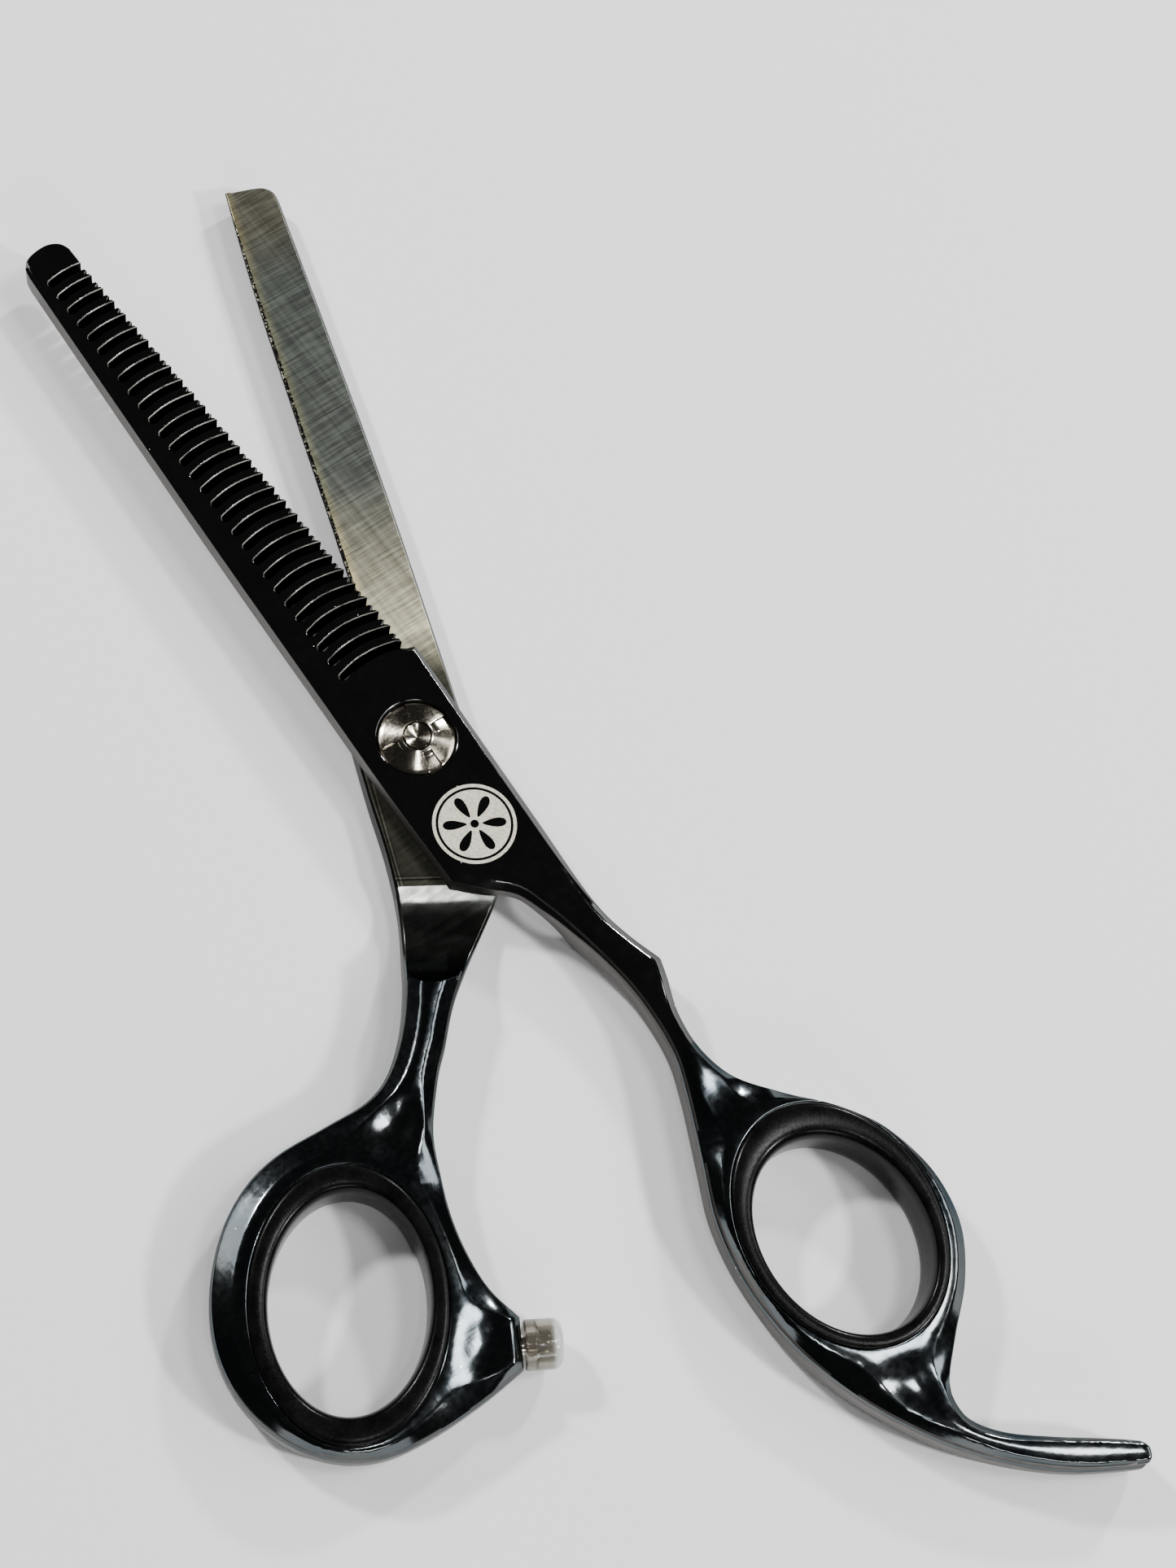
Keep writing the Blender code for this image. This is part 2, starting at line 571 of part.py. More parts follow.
def build():
    clear_scene()
    open_pose = bpy.data.objects.new("pivot_axis", None)
    bpy.context.scene.collection.objects.link(open_pose)
    open_pose.rotation_euler.z = radians(-OPEN_ANGLE)

    toothed = toothed_half()
    cut(toothed, cutter("toothed_bore", BORE_R, UPPER_BOTTOM - CUT_PAST, COUNTERBORE_FLOOR + CUT_PAST))
    cut(toothed, cutter("dial_counterbore", COUNTERBORE_R, COUNTERBORE_FLOOR, UPPER_TOP + CUT_PAST))

    plain = plain_half(open_pose)
    place = bumper_place()
    cut(plain, cutter("plain_bore", SHAFT_BORE_R, -CUT_PAST, LOWER_TOP + CUT_PAST, open_pose))
    cut(plain, cutter("head_seat", SCREW_HEAD_SEAT_R, -CUT_PAST, SCREW_HEAD_SEAT_TOP, open_pose))
    cut(plain, cutter("stud_bore", STUD_BORE_R, -STUD_BORE_DEPTH, CUT_PAST, open_pose, place))
    cut(plain, cutter("washer_seat", WASHER_SEAT_R, WASHER_SEAT_Z, LOWER_TOP + CUT_PAST, open_pose))

    lathe(
        "pivot_screw",
        [(0, 0), (SCREW_HEAD_R - 0.2, 0), (SCREW_HEAD_R, 0.2), (SCREW_HEAD_R, SCREW_HEAD_TOP),
         (SHAFT_R, SCREW_HEAD_TOP), (SHAFT_R, SHAFT_TOP), (SCREW_END_R, SHAFT_TOP),
         (SCREW_END_R, SCREW_END_TOP), (SCREW_END_R - 0.15, SCREW_END_TOP + 0.15),
         (SCREW_END_R - 0.35, SCREW_END_TOP), (0, SCREW_END_TOP - 0.5)],
        BRIGHT, open_pose,
    )
    ring("glide_washer", WASHER_INNER_R, WASHER_OUTER_R, WASHER_LOW, WASHER_HIGH, NYLON, open_pose)
    ring("pivot_bush", BUSH_INNER_R, BUSH_OUTER_R, BUSH_LOW, BUSH_HIGH, BRONZE)
    ring("click_plate", PLATE_INNER_R, PLATE_OUTER_R, PLATE_LOW, PLATE_HIGH, BRIGHT, open_pose)
    inner_low = SPRING_LOW + SPRING_RISE
    lathe(
        "tension_spring",
        [(SPRING_INNER_R, inner_low), (SPRING_OUTER_R, SPRING_LOW),
         (SPRING_OUTER_R, SPRING_LOW + SPRING_THICKNESS), (SPRING_INNER_R, inner_low + SPRING_THICKNESS)],
        BRIGHT, open_pose,
    )
    dial(open_pose)

    insert("finger_insert", FINGER_HOLE, FINGER_RIM)
    insert("thumb_insert", THUMB_HOLE, THUMB_RIM, open_pose)

    lathe(
        "bumper_stud",
        [(0, -STUD_DEPTH), (STUD_R, -STUD_DEPTH), (STUD_R, STUD_NECK), (STUD_HEAD_R, STUD_NECK + 0.1),
         (STUD_HEAD_R, STUD_TOP - 0.2), (STUD_HEAD_R - 0.3, STUD_TOP), (0, STUD_TOP)],
        BRIGHT, open_pose, 20, place,
    )
    lathe(
        "bumper_cap",
        [(0, CAP_HOLLOW_TOP), (CAP_HOLLOW_R, CAP_HOLLOW_TOP), (CAP_HOLLOW_R, CAP_HOLLOW_LOW + 0.15),
         (CAP_NECK_R, CAP_HOLLOW_LOW), (CAP_NECK_R, CAP_LOW), (CAP_R - 0.1, CAP_LOW), (CAP_R, CAP_LOW + 0.2),
         (CAP_R, CAP_TOP - 0.9), (CAP_R - 0.25, CAP_TOP - 0.35), (CAP_R - 0.75, CAP_TOP - 0.08),
         (0, CAP_TOP)],
        SILICONE, open_pose, 24, place,
    )


build()
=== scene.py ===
"""Looks of the thinning shears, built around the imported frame.

Shapes are drawn in millimetres and scaled to metres when their mesh is made. The toothed half
is drawn in the frame's axes. The plain half is drawn with its blade along +Y, in a frame of its
own that is turned clockwise about the pivot axis to the open rest pose.
"""

from math import atan, cos, pi, radians, sin, sqrt

import bpy
import numpy as np
from mathutils import Matrix, Vector
from mathutils.geometry import delaunay_2d_cdt


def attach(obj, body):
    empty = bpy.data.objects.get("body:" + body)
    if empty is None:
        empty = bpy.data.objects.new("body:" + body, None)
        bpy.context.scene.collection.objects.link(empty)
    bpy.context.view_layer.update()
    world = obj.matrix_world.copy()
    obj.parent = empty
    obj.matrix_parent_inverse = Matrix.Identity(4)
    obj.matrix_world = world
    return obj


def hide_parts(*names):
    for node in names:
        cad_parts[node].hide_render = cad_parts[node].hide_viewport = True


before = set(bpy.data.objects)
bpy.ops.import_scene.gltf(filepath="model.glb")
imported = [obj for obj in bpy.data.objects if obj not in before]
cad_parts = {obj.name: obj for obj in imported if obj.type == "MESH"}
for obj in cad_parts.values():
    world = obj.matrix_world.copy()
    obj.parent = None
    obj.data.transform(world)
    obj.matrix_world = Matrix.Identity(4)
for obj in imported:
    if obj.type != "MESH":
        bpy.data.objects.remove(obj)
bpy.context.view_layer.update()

MM = 0.001

LOWER_TOP, UPPER_BOTTOM, UPPER_TOP = 3.2, 3.4, 6.6
HANDLE_BOTTOM = 0.3
OPEN_ANGLE = 20.4
OPEN = Matrix.Rotation(radians(-OPEN_ANGLE), 4, "Z")

SLOT_COUNT, SLOT_PITCH, FIRST_SLOT_Y, SLOT_WIDTH = 29, 1.97, 65.4, 0.86
SLOT_BOW, SLOT_BOW_X = 0.046, 0.85
NOTCH_DEPTH, NOTCH_WIDTH = 0.38, 0.5
TEETH_START_Y, ROOT_MARGIN = 9.2, 0.6
SLOT_CHAMFER = 0.1
EDGE_ROUND = 0.06

# Where each half turns from a flat body into a rounded handle.
TOOTHED_BLEND, PLAIN_BLEND = (-33, -14), (-25, -20)

# Where the softer hand polish of the toothed and of the plain half begins.
RING_START_Y, NECK_START_Y = -42, -15

NO_LIMIT = 99

# Level of a neck's face against the distance out from the pivot, and the lean of its creases.
SCOOP = [
    (13.0, 3.2), (15.0, 3.2), (15.9, 2.93), (16.9, 2.65), (18.0, 2.5), (19.5, 2.58), (21.0, 2.95),
    (22.5, 3.6), (24.0, 4.5), (25.3, 5.6), (26.3, 6.7), (27.2, 7.8),
]
SCOOP_LEAN = radians(12.2)
SCOOP_START, SCOOP_CREASE = SCOOP[1][0], 23
SCOOP_SIDES = (14.97, 15.03)
PLAIN_OUT = Vector((-sin(SCOOP_LEAN), -cos(SCOOP_LEAN)))

COUNTERBORE_R, COUNTERBORE_FLOOR, BORE_R = 4.2, 4.65, 2.9

# Stepped bore of the plain half, as (radius, height, tilt): washer seat, screw, screw's head.
PLAIN_BORE = [
    (4.66, LOWER_TOP, 90), (4.6, LOWER_TOP - 0.06, 0), (4.6, 2.75, 0), (4.55, 2.7, 90), (2.35, 2.7, 90),
    (2.3, 2.65, 0), (2.3, 1.45, 0), (2.35, 1.4, -90), (4.2, 1.4, -90), (4.25, 1.35, 0),
    (4.25, 0.06, 0), (4.32, 0, -90),
]

# Finger holes: centre x, centre y, half length, half width, lean of the long axis clockwise.
FINGER_RIM = (4.3, -65.1, 12.9, 10.15, 6.0)
FINGER_HOLE = (4.1, -66.1, 10.3, 8.3, 1.0)
THUMB_RIM = (-21.7, -54.0, 13.3, 9.6, 12.0)
THUMB_HOLE = (-21.55, -53.85, 10.55, 7.7, 15.0)
SEAT_SHARE = 0.66
RING_POINTS = 160

BUMPER_BASE, BUMPER_LEAN, BUMPER_Z = (-6.6, -61.9), radians(-12), 3.3

TOOTHED_TIP = [
    (2.35, 67.9), (1.9, 68.85), (0.9, 69.45), (-0.3, 69.55), (-1.9, 69.2), (-2.9, 68.4), (-3.2, 67.1),
]
TOOTHED_SPINE = [(-3.2, 67.1), (-4.1, 48), (-4.9, 30), (-5.5, 12), (-6.0, -4), (-6.1, -14.6)]
TOOTHED_LOW = [
    (-6.1, -14.6), (-3.6, -17.2), (-1.4, -19.4), (-0.3, -22), (0.7, -25), (1.9, -30), (2.4, -34.9),
    (1.9, -41), (0.3, -45.6), (-2.9, -52.3), (-5.3, -57.5), (-6.55, -63.3), (-6.8, -69.5), (-6.1, -74.5),
    (-4.1, -80.6), (-0.8, -87), (3.2, -92.4), (8.1, -97.1), (12.6, -100.2), (14.6, -101.4),
]
TANG_END = [(14.6, -101.4), (15.4, -101.2), (16.1, -99.8), (15.6, -98.7)]
TOOTHED_HIGH = [
    (15.6, -98.7), (12.5, -96.2), (9.0, -93.5), (5.6, -90.6), (3.6, -88), (3.1, -86), (3.9, -83.5),
    (7.3, -80.4), (11.5, -77), (14.7, -72.8), (16.0, -68.3), (15.9, -64), (14.7, -59.6), (12.0, -55.2),
    (8.6, -51.3), (5.6, -47.3), (4.5, -43), (4.95, -38.7), (6.3, -35.2), (7.0, -33.1),
]
TOOTHED_RIGHT = [
    (7.0, -33.1), (5.9, -29.6), (5.0, -25.5), (4.85, -20.5), (5.2, -11.9), (5.8, 1.2), (6.1, 8.3),
]
PLAIN_TIP = [(-2.6, 70.3), (0.6, 70.4), (1.9, 70.2), (2.8, 69.4), (3.1, 68)]
PLAIN_SPINE = [(3.1, 68), (4.1, 51), (5.1, 32), (5.7, 12), (6.0, 0), (6.1, -14.4)]
PLAIN_RIGHT = [
    (6.1, -14.4), (3.8, -17.9), (1.2, -21.2), (-1.25, -24.35), (-3.85, -28.1), (-5.8, -32.0), (-7.4, -35.0),
    (-9.2, -39.8), (-9.7, -44), (-9.8, -48.2), (-9.3, -52.2), (-8.2, -56), (-6.1, -59.4),
]
BOSS_END = [(-6.1, -59.4), (-7.1, -64.3)]
PLAIN_LEFT = [
    (-7.1, -64.3), (-11.6, -66.2), (-17, -67.9), (-22, -68.6), (-26.6, -67.5), (-30.7, -64.6),
    (-33.6, -60.3), (-34.8, -55.1), (-34.1, -49.6), (-31.8, -44.4), (-28.6, -40.6), (-24.7, -38.2),
    (-19.2, -36.6), (-14.9, -35.3), (-12.1, -33.1), (-9.5, -28.7), (-7.6, -23), (-6.3, -17.2),
    (-5.85, -11), (-6.0, -4), (-6.0, 2.5),
]
PLAIN_HEEL = [(-6.0, 2.5), (-4.6, 6.2), (-2.3, 9.6), (-1.3, 13.6)]
PLAIN_EDGE = [(-1.3, 13.6), (-1.7, 27), (-2.2, 42), (-2.65, 58), (-2.6, 70.3)]


# ---- outlines


def curve(points, step):
    """Catmull-Rom samples through the points, without the last one."""
    p = np.array([points[0]] + list(points) + [points[-1]], float)
    p[0] = 2 * p[1] - p[2]
    p[-1] = 2 * p[-2] - p[-3]
    out = []
    for k in range(1, len(p) - 2):
        count = max(1, round(np.linalg.norm(p[k + 1] - p[k]) / step))
        a, b, c, d = p[k - 1 : k + 3]
        for t in np.arange(count) / count:
            out.append(
                0.5 * (2 * b + (c - a) * t + (2 * a - 5 * b + 4 * c - d) * t**2
                       + (3 * b - a - 3 * c + d) * t**3)
            )
    return out


def oval(shape, count=RING_POINTS):
    x, y, half_length, half_width, lean = shape
    a = radians(lean)
    t = np.arange(count) * 2 * pi / count
    u, v = half_length * np.cos(t), half_width * np.sin(t)
    return np.stack([x + u * sin(a) - v * cos(a), y + u * cos(a) + v * sin(a)], 1)


def between(hole, rim, share):
    return (1 - share) * oval(hole) + share * oval(rim)


def tooth_tip_x(y):
    return 5.36 - 0.0243 * y - 0.000337 * y * y


def slot_root_x(y):
    return -2.75 + 0.0125 * (y - 10)


def in_slots(x, y):
    return (y > TEETH_START_Y) & (x > slot_root_x(y) - ROOT_MARGIN)


def slot_wall(middle, x, offset):
    """Point beside a slot's bowed centre line, this far off it towards the tip."""
    slope = -2 * SLOT_BOW * (x - SLOT_BOW_X)
    length = sqrt(1 + slope * slope)
    y = middle - SLOT_BOW * (x - SLOT_BOW_X) ** 2
    return x - offset * slope / length, y + offset / length


def slot(middle, mouth_x, steps=9, turns=7):
    """Outline of one slot: in along its heel side, round the root and out along its tip side."""
    root_x = slot_root_x(middle) + SLOT_WIDTH / 2
    centre_x, centre_y = slot_wall(middle, root_x, 0)
    lean = atan(-2 * SLOT_BOW * (root_x - SLOT_BOW_X))
    runs = np.linspace(mouth_x, root_x, steps)
    heel_side = [slot_wall(middle, x, -SLOT_WIDTH / 2) for x in runs]
    root = []
    for turn in np.arange(1, turns) * pi / turns:
        angle = lean - pi / 2 - turn
        root.append((centre_x + SLOT_WIDTH / 2 * cos(angle), centre_y + SLOT_WIDTH / 2 * sin(angle)))
    tip_side = [slot_wall(middle, x, SLOT_WIDTH / 2) for x in runs[::-1]]
    return heel_side + root + tip_side


def toothed_edge():
    out = [(6.05, 8.6)]
    for k in reversed(range(SLOT_COUNT)):
        middle = FIRST_SLOT_Y - k * SLOT_PITCH
        heel = k == SLOT_COUNT - 1
        out += slot(middle, 5.4 if heel else tooth_tip_x(middle))
        if heel:
            # The front of the body reaches further out than the first tooth.
            out[-1] = (tooth_tip_x(middle), out[-1][1])
        if k > 0:
            tooth = middle + SLOT_PITCH / 2
            x, y = slot_wall(tooth, tooth_tip_x(tooth), 0)
            out += [(x, y - NOTCH_WIDTH / 2), (x - NOTCH_DEPTH, y), (x, y + NOTCH_WIDTH / 2)]
    return out


def segments(loops, closed=True):
    ends = [(np.array(loop), np.roll(np.array(loop), -1, axis=0)) for loop in loops]
    if not closed:
        ends = [(a[:-1], b[:-1]) for a, b in ends]
    return np.concatenate([a for a, _ in ends]), np.concatenate([b for _, b in ends])


def distance(points, loops, closed=True):
    """Each point's distance to the nearest of the loops."""
    a, b = segments(loops, closed)
    ab = b - a
    length2 = np.maximum((ab**2).sum(1), 1e-12)
    best = np.empty(len(points))
    for start in range(0, len(points), 1000):
        ap = points[start : start + 1000, None] - a[None]
        t = np.clip((ap * ab).sum(2) / length2, 0, 1)
        gap = ap - t[..., None] * ab
        best[start : start + 1000] = np.sqrt((gap**2).sum(2)).min(1)
    return best


def beside(points, loops, gap):
    """Whether each point shares or neighbours a cell of this size with one of the loops."""
    a, b = segments(loops)
    steps = np.ceil(np.linalg.norm(b - a, axis=1) / gap * 2).astype(int) + 1
    line = np.concatenate([p + (q - p) * np.arange(n)[:, None] / n for p, q, n in zip(a, b, steps)])
    shift = np.array([[i, j] for i in (-1, 0, 1) for j in (-1, 0, 1)])
    cells = (np.floor(line / gap).astype(int)[:, None] + shift[None]).reshape(-1, 2)
    keys = cells[:, 0] * 100000 + cells[:, 1]
    own = np.floor(points / gap).astype(int)
    return np.isin(own[:, 0] * 100000 + own[:, 1], keys)


def inside(points, loops):
    a, b = segments(loops)
    crossings = np.zeros(len(points), int)
    for (ax, ay), (bx, by) in zip(a, b):
        if ay == by:
            continue
        spans = (points[:, 1] >= min(ay, by)) & (points[:, 1] < max(ay, by))
        crossings += spans & (points[:, 0] < ax + (points[:, 1] - ay) * (bx - ax) / (by - ay))
    return crossings % 2 == 1


def smooth_step(value, low, high):
    t = np.clip((value - low) / (high - low), 0, 1)
    return t * t * (3 - 2 * t)


# ---- slabs


def corners(points, crisp=radians(24), spread=0.03):
    """Points of a loop with their inward mitre and outward normal. A sharp corner becomes three
    points, so that each side keeps its own normal right up to it."""
    p = np.array(points, float)
    along = np.roll(p, -1, axis=0) - p
    along /= np.linalg.norm(along, axis=1)[:, None]
    before = np.roll(along, 1, axis=0)
    place, mitre, normal = [], [], []
    for q, t0, t1 in zip(p, before, along):
        n0, n1 = np.array([-t0[1], t0[0]]), np.array([-t1[1], t1[0]])
        dot = float(np.clip(n0 @ n1, -0.9, 1))
        m = (n0 + n1) / (1 + dot)
        middle = -(n0 + n1) / np.linalg.norm(n0 + n1)
        if np.arccos(dot) > crisp:
            place += [q - spread * t0, q, q + spread * t1]
            mitre += [m, m, m]
            normal += [-n0, middle, -n1]
        else:
            place.append(q)
            mitre.append(m)
            normal.append(middle)
    return np.array(place), np.array(mitre), np.array(normal)


def gradient_normal(height, flat, up=1):
    d = 0.02
    dx = (height(flat + [d, 0]) - height(flat - [d, 0])) / (2 * d)
    dy = (height(flat + [0, d]) - height(flat - [0, d])) / (2 * d)
    n = np.stack([-dx, -dy, np.ones(len(flat))], 1) * up
    return n / np.linalg.norm(n, axis=1)[:, None]


def cap(rows_2d, extra, lines):
    """Triangles of the area inside the loops, through the extra points and along the lines."""
    points = [tuple(p) for loop in rows_2d for p in loop]
    edges, start = [], 0
    for loop in rows_2d:
        edges += [(start + k, start + (k + 1) % len(loop)) for k in range(len(loop))]
        start += len(loop)
    fixed = len(points)
    points += [tuple(p) for p in extra]
    for line in lines:
        first = len(points)
        points += [tuple(p) for p in line]
        edges += [(k, k + 1) for k in range(first, len(points) - 1)]
    made = delaunay_2d_cdt([Vector(p) for p in points], edges, [], 0, 1e-5, True)
    flat = np.array([tuple(v) for v in made[0]])
    source = [min(ids) if ids and min(ids) < fixed else -1 for ids in made[3]]
    faces = np.array([tuple(f) for f in made[2]])
    a, b, c = flat[faces[:, 0]], flat[faces[:, 1]], flat[faces[:, 2]]
    turn = (b - a)[:, 0] * (c - a)[:, 1] - (b - a)[:, 1] * (c - a)[:, 0]
    faces[turn < 0] = faces[turn < 0][:, ::-1]
    faces = faces[inside((a + b + c) / 3, rows_2d)]
    return flat, source, faces


def slab(name, loops, top, bottom, top_extra, bottom_extra, top_lines=(), bottom_lines=()):
    """A closed body. Each loop is (places, heights, normals) of rows from its top edge down to
    its bottom edge; caps with the two height functions close it."""
    points, normals, faces, tops, bottoms = [], [], [], [], []
    for places, heights, directions in loops:
        rows, count = len(places), len(places[0])
        start = len(points)
        for xy, z, n in zip(places, heights, directions):
            points += [(*place, h) for place, h in zip(xy, z)]
            normals += list(n)
        for k in range(rows - 1):
            for i in range(count):
                j = (i + 1) % count
                a, b = start + k * count, start + (k + 1) * count
                faces.append((b + i, b + j, a + j, a + i))
        tops.append((start, places[0]))
        bottoms.append((start + (rows - 1) * count, places[-1]))
    for ends, height, extra, lines, up in (
        (tops, top, top_extra, top_lines, 1),
        (bottoms, bottom, bottom_extra, bottom_lines, -1),
    ):
        rows_2d = [np.array(p) for _, p in ends]
        offsets = np.concatenate([start + np.arange(len(p)) for start, p in ends])
        if len(extra):
            extra = extra[inside(extra, rows_2d)]
            extra = extra[~beside(extra, rows_2d, 0.12)]
        flat, source, tris = cap(rows_2d, extra, lines)
        z = height(flat)
        n = gradient_normal(height, flat, up)
        index = np.empty(len(flat), int)
        for k, s in enumerate(source):
            if s >= 0:
                index[k] = offsets[s]
                normals[index[k]] = n[k]
            else:
                index[k] = len(points)
                points.append((*flat[k], z[k]))
                normals.append(n[k])
        tris = index[tris]
        faces += [tuple(f) if up == 1 else tuple(f[::-1]) for f in tris.tolist()]
    return shaded_mesh(name, points, faces, normals)


def new_object(name, data):
    obj = bpy.data.objects.new(name, data)
    bpy.context.scene.collection.objects.link(obj)
    return obj


def shaded_mesh(name, points, faces, normals):
    used = sorted({k for f in faces for k in f})
    place = {k: i for i, k in enumerate(used)}
    mesh = bpy.data.meshes.new(name)
    corners_of = [[place[k] for k in f] for f in faces]
    mesh.from_pydata([tuple(MM * float(c) for c in points[k]) for k in used], [], corners_of)
    mesh.polygons.foreach_set("use_smooth", [True] * len(mesh.polygons))
    mesh.normals_split_custom_set_from_vertices([tuple(map(float, normals[k])) for k in used])
    return new_object(name, mesh)


def tilted(outward, tilt):
    """Normals that lean up from their outward directions by this many degrees."""
    lean = np.radians(np.broadcast_to(tilt, len(outward)))[:, None]
    return np.concatenate([outward * np.cos(lean), np.sin(lean)], 1)


def edge_profile(points, chamfer, handle, slots, top, bottom, base_chamfer=0.12):
    """Rows round an outer outline: a chamfered wall on the blade, a crowned one on the handle,
    and all but sharp in the slots. The last three are values for each point."""
    place, mitre, normal = points
    e = EDGE_ROUND
    c = np.where(slots, SLOT_CHAMFER, chamfer)
    e = np.where(slots, 0.02, e)
    b = np.where(slots, 0.03, base_chamfer)
    high, low = top(place), bottom(place)
    one = np.ones(len(place))
    blade = [
        (c + 0.7 * e, high, 90), (c - 0.3 * e, high - 0.3 * e, 45), (0.3 * e, high - c + 0.3 * e, 45),
        (0 * one, high - c - 0.7 * e, 0), (0 * one, high - c - 0.8 * e, 0), (0 * one, (high + low) / 2, 0),
        (0 * one, low + b + 0.7 * e, 0), (0.3 * e, low + b - 0.3 * e, -45),
        (b - 0.3 * e, low + 0.3 * e, -45), (b + 0.7 * e, low, -90),
    ]
    crowned = [
        (0.34, high, 44), (0.24, high - 0.12, 40), (0.15, high - 0.27, 32), (0.08, high - 0.46, 22),
        (0.02, high - 0.8, 9), (0.0, high - 1.3, 0), (0.0, low + 0.36 * (high - low), 0),
        (0.10, low + 0.2 * (high - low), -20), (0.4, low + 0.07 * (high - low), -50), (1.0, low, -86),
    ]
    places, heights, normals = [], [], []
    for (inset_b, z_b, tilt_b), (inset_h, z_h, tilt_h) in zip(blade, crowned):
        inset = (1 - handle) * inset_b + handle * inset_h
        z = (1 - handle) * z_b + handle * z_h
        places.append(place + mitre * inset[:, None])
        heights.append(z)
        normals.append(tilted(normal, (1 - handle) * tilt_b + handle * tilt_h))
    # The first and last rows lie on the caps.
    heights[0], heights[-1] = top(places[0]), bottom(places[-1])
    return places, heights, normals


def round_rows(rows, count=128):
    """Rows of a round hole: each is (radius, height, tilt); the wall faces the hole's middle."""
    t = -np.arange(count) * 2 * pi / count
    ring = np.stack([np.cos(t), np.sin(t)], 1)
    places, heights, normals = [], [], []
    for radius, height, tilt in rows:
        places.append(ring * radius)
        heights.append(np.full(count, float(height)))
        normals.append(tilted(-ring, tilt))
    return places, heights, normals


def seat_rows(hole, rim, top, bottom):
    """Rows of a ring's opening: a small step for the insert's lip, then the seat of its bush."""
    seat = between(hole, rim, SEAT_SHARE)[::-1]
    edge = between(hole, rim, 1.0)[::-1]
    middle = np.array([hole[0], hole[1]])
    out = edge - middle
    out /= np.linalg.norm(out, axis=1)[:, None]
    high, low = top(edge), bottom(edge)
    rows = [
        (edge + 0.10 * out, high, 88), (edge + 0.03 * out, high - 0.03, 45), (edge, high - 0.1, 0),
        (edge, high - 0.34, 0), (edge - 0.02 * out, high - 0.36, 90), (seat + 0.02 * out, high - 0.36, 90),
        (seat, high - 0.38, 0), (seat, low + 0.5, 0), (seat + 0.02 * out, low + 0.3, -90),
        (edge, low + 0.3, -90), (edge + 0.02 * out, low + 0.1, -45), (edge + 0.3 * out, low, -90),
    ]
    places, heights, normals = [], [], []
    for place, z, tilt in rows:
        places.append(place)
        heights.append(z)
        normals.append(tilted(-out, tilt))
    heights[0], heights[-1] = top(places[0]), bottom(places[-1])
    return places, heights, normals


# ---- the two halves


def scoop_level(along):
    """Top of a neck against the distance out from the pivot: flat pad, scoop, then full height."""
    line = np.array(curve(SCOOP[1:], 0.1) + [SCOOP[-1]])
    level = np.interp(along, line[:, 0], line[:, 1])
    return np.where(along < SCOOP_START, SCOOP[0][1], np.where(along > SCOOP[-1][0], NO_LIMIT, level))


def section(gap, ridge):
    """Fall of a handle's face at this distance from its edge: a flank, a ridge and a low crown."""
    flank = CROWN_DROP + (FLANK_DROP - CROWN_DROP) * (ridge - gap) / (ridge - FLANK_START)
    crown = CROWN_DROP * np.clip(1 - (gap - ridge) / CROWN_WIDTH, 0, 1) ** 2
    return np.where(gap < ridge, flank, crown)


def blurred(height, cells):
    """The raster smoothed with a Gaussian this many cells wide."""
    reach = int(3 * cells) + 1
    kernel = np.exp(-0.5 * (np.arange(-reach, reach + 1) / cells) ** 2)
    kernel /= kernel.sum()
    for axis in (0, 1):
        pad = [(0, 0), (0, 0)]
        pad[axis] = (reach, reach)
        wide = np.pad(height, pad, mode="edge")
        height = sum(
            k * np.take(wide, np.arange(n, n + height.shape[axis]), axis) for n, k in enumerate(kernel)
        )
    return height


def below(outer, level):
    """The part of an outline below this level, closed by a straight line."""
    return np.array([point for point in outer if point[1] < level])


def handle_raster(box, outer, rim, fall, shank_ridge):
    """Fall of a handle's face from its highest level, as a function of position. The box is
    (x0, y0, x1, y1), fall scales it by place, and shank_ridge places the ridge off the ring."""
    x0, y0, x1, y1 = box
    xs, ys = np.arange(x0, x1, RASTER), np.arange(y0, y1, RASTER)
    flat = np.stack(np.meshgrid(xs, ys, indexing="ij"), -1).reshape(-1, 2)
    gap = distance(flat, [outer])
    near = np.where(inside(flat, [outer]), gap, 0)
    to_rim = distance(flat, [oval(rim, 96)])
    band = np.clip(RIDGE_SHARE * (near + to_rim), 0.55, RING_RIDGE)
    away = smooth_step(to_rim, *RING_REACH)
    ridge = (1 - away) * band + away * shank_ridge(flat)
    room = near * to_rim / (near + to_rim + 0.01)
    dish = WEB_DEPTH * smooth_step(room, *WEB_ROOM) * (1 - smooth_step(to_rim, *WEB_REACH))
    shape = (len(xs), len(ys))
    level = blurred(section(near, ridge).reshape(shape), RIDGE_BLUR / RASTER)
    level += blurred(dish.reshape(shape), WEB_BLUR / RASTER)
    level *= fall(flat).reshape(shape)

    def sample(points):
        u = np.clip((points[:, 0] - x0) / RASTER, 0, shape[0] - 1.001)
        v = np.clip((points[:, 1] - y0) / RASTER, 0, shape[1] - 1.001)
        i, j = u.astype(int), v.astype(int)
        a, b = u - i, v - j
        return (
            level[i, j] * (1 - a) * (1 - b) + level[i + 1, j] * a * (1 - b)
            + level[i, j + 1] * (1 - a) * b + level[i + 1, j + 1] * a * b
        )

    return sample


def stretches(points, keep, gap=0.0):
    """The kept stretches of a line, without points closer than the gap to the one before."""
    lines, run = [], []
    for point, kept in zip(points, keep):
        if kept and (not run or np.linalg.norm(point - run[-1]) > gap):
            run.append(point)
        elif not kept:
            lines.append(run)
            run = []
    return [np.array(line) for line in lines + [run] if len(line) > 1]


